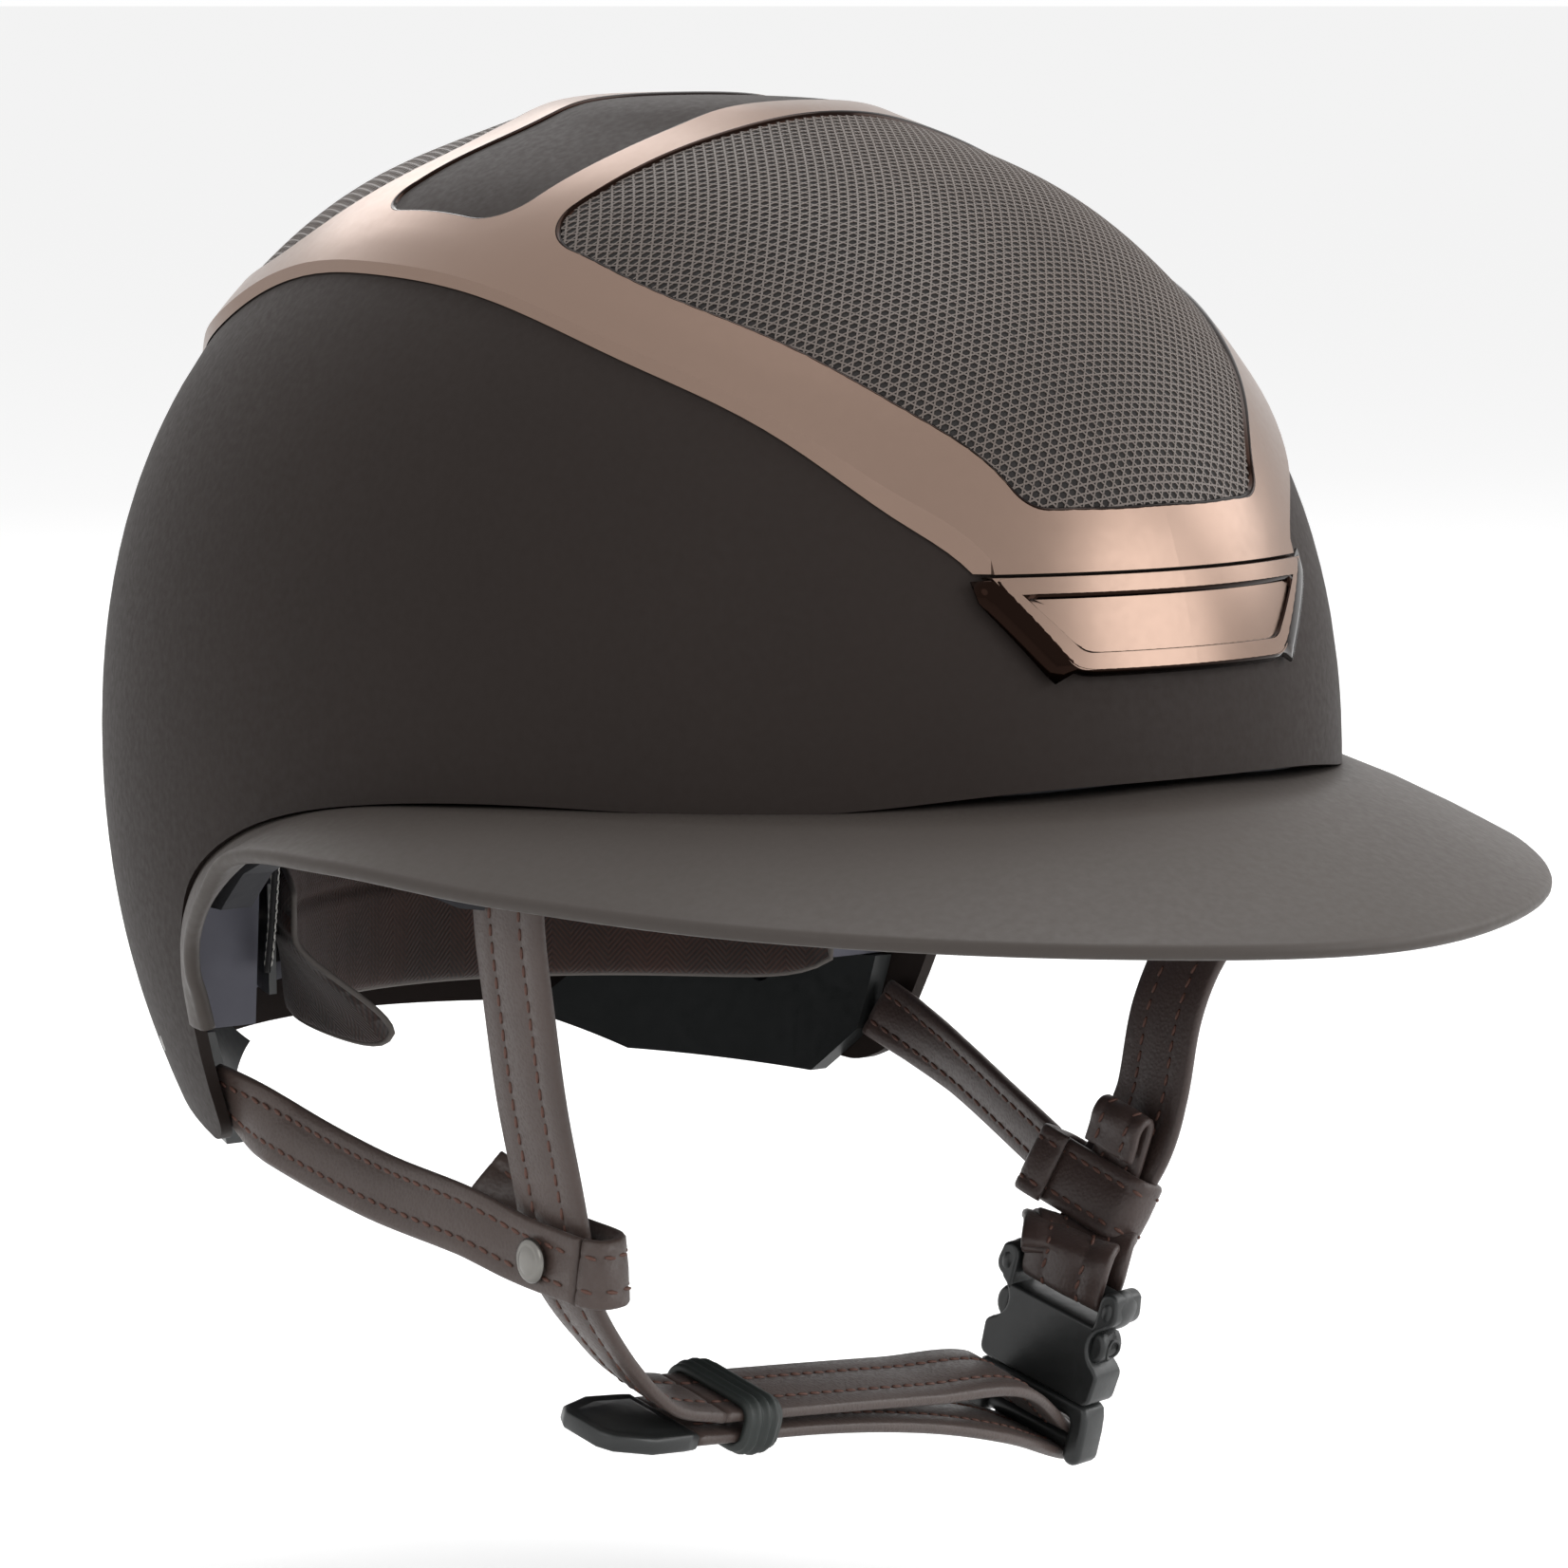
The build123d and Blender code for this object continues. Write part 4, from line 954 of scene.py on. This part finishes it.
def addBar(bm, down, radius, length):
    bmesh.ops.create_cone(bm, cap_ends=True, segments=24, radius1=radius * mm, radius2=radius * mm,
                          depth=length * mm,
                          matrix=Matrix.Translation(buckleSpot(0, 0, down))
                          @ buckleAcross.to_track_quat("Z", "Y").to_matrix().to_4x4())


def bothEdges(half):
    return half + [(-a, d) for a, d in reversed(half)]


femaleHalf = [(10.4, 8.2), (10.6, 7.6), (10.6, 2.4)] + arcSpots(12.9, 2.3, 2.2, 185, 330, 8)
femaleHalf += arcSpots(12.5, 4.6, 2.9, -10, 70, 6) + arcSpots(15.4, 12.2, 4.9, -118, -246, 9)
femaleHalf += arcSpots(12.7, 18.6, 1.9, -62, 0, 4) + arcSpots(12.2, 22.9, 2.1, 0, 85, 5)
female = plateFrom(bothEdges(femaleHalf), -4.4, 4.4, 1.3, segments=4)
for side in (1, -1):  # the fat round lugs that carry the strap's bar
    bmesh.ops.create_uvsphere(female, u_segments=20, v_segments=12, radius=1,
                              matrix=Matrix.Translation(buckleSpot(side * 13.0, 0, 4.0))
                              @ Matrix((buckleAcross, buckleFace, buckleUp)).transposed().to_4x4()
                              @ Matrix.Diagonal((2.7 * mm, 5.0 * mm, 4.1 * mm, 1)))
addBar(female, barBend["upperDown"], 1.5, 23)
place(keep(female, "buckle_female_moulded", [plasticPaint], crease=40), "root", "black_plastic",
      "buckle_female")

armHalf = arcSpots(12.7, 36.2, 2.2, 0, 180, 9) + [(10.6, 30.4), (10.0, 29.2), (9.0, 28.9), (0.0, 28.9)]
armHalf = [(0.0, 25.5), (12.6, 25.5), (13.7, 26.2), (14.3, 28.0), (14.7, 31.0)] + armHalf
maleOutline = armHalf + [(-a, d) for a, d in reversed(armHalf[1:-1])]
male = plateFrom(maleOutline, -3.7, 3.7, 1.2, segments=4)
plateFrom([(-2, 25.8), (-2, 11), (-1.2, 9.6), (1.2, 9.6), (2, 11), (2, 25.8)], -1.9, 1.9, 0.5, bm=male)
addBar(male, barBend["lowerDown"], 1.7, 23.6)
place(keep(male, "buckle_male_moulded", [plasticPaint], crease=40), "male_half", "black_plastic",
      "buckle_male")

for side, nodeName, body in ((1, "prong_front", "front_prong"), (-1, "prong_rear", "rear_prong")):
    pad = arcSpots(9.9, 12.7, 4.1, -80, 80, 13)
    outline = [(side * a, d) for a, d in [(7.0, 24.6), (7.0, 10.2), (8.0, 8.8)] + pad + [(9.9, 18.2),
        (10.0, 24.6)]]
    prong = plateFrom(outline, -2.1, 2.1, 0.7)
    plateFrom([(side * a, d) for a, d in [(10.4, 9.6), (10.4, 15.9)] + pad[-2:1:-1]], -3.3, 3.3, 1.0,
              bm=prong)
    oval = [buckleSpot(side * (9.9 + 4.15 * math.cos(math.asin(1.9 * math.sin(t) / 4.1))), 1.9 * math.cos(t),
                       12.7 + 1.9 * math.sin(t)) for t in (math.tau * k / 24 for k in range(24))]
    ridge = sweep(stationsOf(oval, [buckleAcross * side] * 24, closed=True),
                  [(0.32 * math.cos(math.tau * k / 8),
                    0.32 * math.sin(math.tau * k / 8)) for k in range(8)], closed=True)
    carried = bpy.data.meshes.new("carried")
    ridge.to_mesh(carried)
    ridge.free()
    prong.from_mesh(carried)
    bpy.data.meshes.remove(carried)
    place(keep(prong, nodeName + "_moulded", [plasticPaint], crease=40), body, "black_plastic", nodeName)
print("buckle is made")

# Rubber keeper and end tab
keeperSize = dict(length=9.5, place=9.0, wall=2.2, ridge=0.45)
keeperCentre = keeperStart + keeperAxis * keeperSize["place"] - strandStep * 0.5
leanAxis = Vector(chinLean).normalized()
leanAxis = (leanAxis - keeperAxis * leanAxis.dot(keeperAxis)).normalized()
keeperOut = keeperAxis.cross(leanAxis)
keeperStations = ringStations(10.4, 3.8, 2.4, lambda a, b: (keeperCentre + leanAxis * a + keeperOut * b) * mm,
                              keeperAxis)
half = keeperSize["length"] / 2
ridges = []
for k in range(21):
    share = k / 20
    bulge = keeperSize["ridge"] * math.cos(share * math.tau * 4) * math.sin(share * math.pi)
    ridges.append((-half + share * 2 * half,
                   keeperSize["wall"] * (0.45 + 0.5 * math.sin(share * math.pi) ** 0.35) + bulge))
keeperRing = [(-half, 0.1)] + ridges + [(half, 0.1), (half - 1, 0.0), (-half + 1, 0.0)]
place(keep(sweep(keeperStations, keeperRing, closed=True), "rubber_keeper_ridged", [rubberPaint]),
      "keeper", "keeper_rubber", "rubber_keeper")

tabRoot = keeperStart - strandStep - keeperAxis * 6.4
tabSize = dict(length=22.0, width=20.6, thickness=3.6)


def makeTab():
    across, along, out = leanAxis, -keeperAxis, keeperOut
    outline = [(-10.0, 0.0), (-10.4, 3.0), (-10.6, 12.0), (-7.6, 20.0), (-4.6, 22.0), (4.6, 22.0),
               (7.6, 20.0),
               (10.6, 12.0), (10.4, 3.0), (10.0, 0.0)]
    bm = bmesh.new()
    low = -tabSize["thickness"] / 2
    corners = [bm.verts.new((tabRoot + across * a + along * s + out * low) * mm) for a, s in outline]
    base = bm.faces.new(corners)
    grown = bmesh.ops.extrude_face_region(bm, geom=[base])["geom"]
    bmesh.ops.translate(bm, vec=out * (tabSize["thickness"] * mm),
                        verts=[g for g in grown if isinstance(g, bmesh.types.BMVert)])
    bmesh.ops.recalc_face_normals(bm, faces=bm.faces)
    broad = [f for f in bm.faces if abs(f.normal.dot(out)) > 0.9]
    bmesh.ops.bevel(bm, geom=list({e for f in broad for e in f.edges}), offset=0.9 * mm, segments=3,
                    profile=0.5,
                    affect="EDGES", material=-1)
    broad = sorted([f for f in bm.faces if abs(f.normal.dot(out)) > 0.9], key=lambda f: -f.calc_area())[:2]
    bmesh.ops.inset_region(bm, faces=broad, thickness=1.5 * mm, depth=-0.35 * mm)
    bmesh.ops.inset_region(bm, faces=broad, thickness=0.7 * mm, depth=0.35 * mm)
    place(keep(bm, "strap_end_tab_moulded", [plasticPaint]), "root", "black_plastic", "strap_end_tab")


makeTab()


# Studs and rivets: profiles spun round their axis
def spunStud(name, centre, axis, profile, body, stands=()):
    bm = bmesh.new()
    side = axis.orthogonal().normalized()
    line = [bm.verts.new(centre + side * (r * mm) + axis * (h * mm)) for r, h in profile]
    edges = [bm.edges.new(pair) for pair in zip(line, line[1:])]
    bmesh.ops.spin(bm, geom=line + edges, cent=centre, axis=axis, angle=math.tau, steps=36, use_merge=True)
    bmesh.ops.remove_doubles(bm, verts=bm.verts, dist=1e-5)
    bmesh.ops.holes_fill(bm, edges=bm.edges, sides=40)
    bmesh.ops.recalc_face_normals(bm, faces=bm.faces)
    return place(keep(bm, name, [steelPaint]), body, "steel", *stands)


capProfile = [(0.0, 1.5), (1.6, 1.45), (2.6, 1.3), (2.9, 1.12), (3.2, 1.2), (3.9, 0.95), (4.3, 0.45),
              (4.3, 0.0), (1.6, -0.1)]
spunStud("snap_cap_domed", vec(-88.2, -55.0, -87), Vector((-1, 0.06, 0)).normalized(), capProfile, "root",
         ["snap_cap"])
spunStud("snap_socket_ring", vec(-73.9, -55.0, -87), Vector((1, 0, 0)),
         [(1.9, 0.1), (2.0, 1.7), (2.6, 2.0), (3.4, 1.6), (4.3, 0.9), (4.5, 0.1), (1.9, 0.1)], "strap_tail",
         ["snap_socket"])
shellCopy, shellFaces = outerFaces("outer_shell", -2)
shellTree = treeOf(shellFaces)
shellCopy.free()
rivetProfile = [(0.0, 1.3), (1.4, 1.22), (2.5, 0.85), (3.1, 0.25), (3.2, -0.5), (1.4, -0.6)]
for side, label in ((1, "left"), (-1, "right")):
    hit = shellTree.ray_cast(vec(side * 130, 72 + 2.6, -61), Vector((-side, 0, 0)))
    spot, out = hit[0], hit[1] if hit[1].x * side > 0 else -hit[1]
    spot = Vector((spot.x, 0.072, -0.061))
    spunStud("nape_rivet_" + label, spot, out, rivetProfile, "root", ["nape_rivets"])
print("keeper, tab, studs and rivets are made")


# Padded lining
cavity = dict(halfWidth=84.0, halfLength=84.0 * 140 / 108.5, height=99.0, power=2.15)


def wallSpot(turn, height, inward):  # a place on the cavity's wall, drawn in by a distance
    rise = max(height, 0) / (cavity["height"] - inward)
    share = (1 - min(rise, 0.999) ** cavity["power"]) ** (1 / cavity["power"])
    halfWidth = cavity["halfWidth"] - inward
    halfLength = halfWidth * cavity["halfLength"] / cavity["halfWidth"]
    return vec(halfWidth * share * math.cos(turn), halfLength * share * math.sin(turn), height)


def padSpot(turns, heights, u, s, depth, curl=None):  # a place on a pad; u and s run from -1 to 1
    turn = math.radians((turns[0] + turns[1]) / 2 + (turns[1] - turns[0]) / 2 * u)
    rounded = s * (1 - 0.3 * abs(u) ** 14)
    height = (heights[0] + heights[1]) / 2 + (heights[1] - heights[0]) / 2 * rounded
    if curl:
        bend = curl(u, s)
        height -= bend * 3.5
        depth += bend * 18
    return wallSpot(turn, height, depth)


def cushion(name, body, node, spotAt, scaleU, channels=(), cuts=30):  # a crowned pad with sewn channels
    bm = bmesh.new()
    bmesh.ops.create_cube(bm, size=2)
    bmesh.ops.subdivide_edges(bm, edges=bm.edges, cuts=cuts, use_grid_fill=True)
    uv = bm.loops.layers.uv.new("UVMap")
    flat = {}
    for v in bm.verts:
        u, s, w = v.co
        crown = (1 - abs(u) ** 8) ** 0.35 * (1 - abs(s) ** 6) ** 0.35
        for line in channels:
            crown *= 1 - 0.45 * math.exp(-((s - line) / 0.07) ** 2)
        v.co = spotAt(u, s, 0.5 - 0.5 * crown + crown * (w + 1) / 2)
        flat[v] = (u * scaleU, v.co.z if abs(scaleU) > 0.03 else s * 0.03)
    for face in bm.faces:
        for loop in face.loops:
            loop[uv].uv = flat[loop.vert]
    bmesh.ops.recalc_face_normals(bm, faces=bm.faces)
    pad = place(keep(bm, name, [fabricPaint]), body, "lining_fabric", node)


def makePad(name, node, body, turns, heights, gap, thickness, channels=(), cuts=30, curl=None):
    scaleU = math.radians(turns[1] - turns[0]) / 2 * cavity["halfWidth"] * mm * 1.15
    cushion(name, body, node, lambda u, s, w: padSpot(turns, heights, u, s, gap + thickness * w, curl),
            scaleU,
            channels, cuts)


def makePiping(name, body, turns, heights, gap, radius=0.9, curl=None):  # a thin corded edge round a pad
    line = []
    for u0, s0, u1, s1, count in ((-1, -1, 1, -1, 60), (1, -1, 1, 1, 20), (1, 1, -1, 1, 60),
                                  (-1, 1, -1, -1, 20)):
        for k in range(count):
            u, s = u0 + (u1 - u0) * k / count, s0 + (s1 - s0) * k / count
            line.append(padSpot(turns, heights, u * 0.995, s * 0.985, gap, curl))
    outs = [Vector((-spot.x, -spot.y, 0)).normalized() for spot in line]
    section = [(radius * math.cos(math.tau * k / 10),
                radius * math.sin(math.tau * k / 10)) for k in range(10)]
    tube = sweep(stationsOf(line, outs, closed=True), section, closed=True)
    return place(keep(tube, name, [pipingPaint]), body, "lining_fabric")


def cradleCurl(u, s):  # the loose near end hangs inwards and down
    end = max(0.0, min(1.0, (u - 0.5) / 0.5))
    low = max(0.0, min(1.0, (0.3 - s) / 1.3))
    return end * end * (3 - 2 * end) * low * low * (3 - 2 * low)


def makeCrownPad(cuts=36):  # a quilted disc under the top of the foam
    low, high = (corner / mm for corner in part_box("crown_pad"))
    middle, half = (low + high) / 2, (high - low) / 2

    def spotAt(u, s, w):
        x = middle.x + half.x * u * math.sqrt(1 - s * s / 2)
        y = middle.y + half.y * s * math.sqrt(1 - u * u / 2)
        drawn = 0.4 + 4.4 * w
        plan = (x / (cavity["halfWidth"] - drawn)) ** 2 + (y / (cavity["halfLength"] - drawn)) ** 2
        rise = (1 - plan ** (cavity["power"] / 2)) ** (1 / cavity["power"])
        return vec(x, y, (cavity["height"] - drawn) * rise)

    cushion("crown_pad_quilted", "root", "crown_pad", spotAt, 0.03, channels=(-0.4, 0.0, 0.4), cuts=cuts)


makePad("brow_pad_quilted", "brow_pad", "root", (212, 328), (16.5, 43.5), 0.3, 5.0, channels=(-0.33, 0.33))
makePad("side_pad_left_quilted", "side_pad_left", "root", (-5, 49), (16.5, 43.5), 0.3, 5.0, channels=(0.0,))
makePad("side_pad_right_quilted", "side_pad_right", "root", (131, 185), (16.5, 43.5), 0.3, 5.0,
        channels=(0.0,))
makePad("nape_cradle_padded", "nape_cradle", "cradle", (26, 152), (-59.5, -24.5), 5.2, 4.0,
        channels=(0.25,), cuts=40,
        curl=cradleCurl)
makePiping("nape_cradle_piping", "cradle", (26, 152), (-59.5, -24.5), 7.2, radius=0.6, curl=cradleCurl)
makeCrownPad()

for side, label in ((1, "left"), (-1, "right")):  # the strips that the lining's back edge hooks onto
    spots = [wallSpot(math.radians(90 - side * turn), height, 1.2) for turn, height in
             ((68, -20), (67, -28), (66, -36), (64.5, -44))]
    rows = [((spot.x / mm, spot.y / mm, spot.z / mm), (-0.62 * side, 0.78, 0)) for spot in spots]
    stations = routePoints(rows)
    place(keep(sweep(stations, strapSection(4.6, 1.2, 1.4)), "hook_strip_" + label, [hookPaint]), "root",
          "lining_fabric")
    threadMesh = bmesh.new()
    stitches(threadMesh, stations, 1.4, 0.55, pitch=2.0, skip=1.0)
    place(keep(threadMesh, f"hook_strip_{label}_stitching", [paleThread]), "root", "lining_fabric")
print("lining is made")
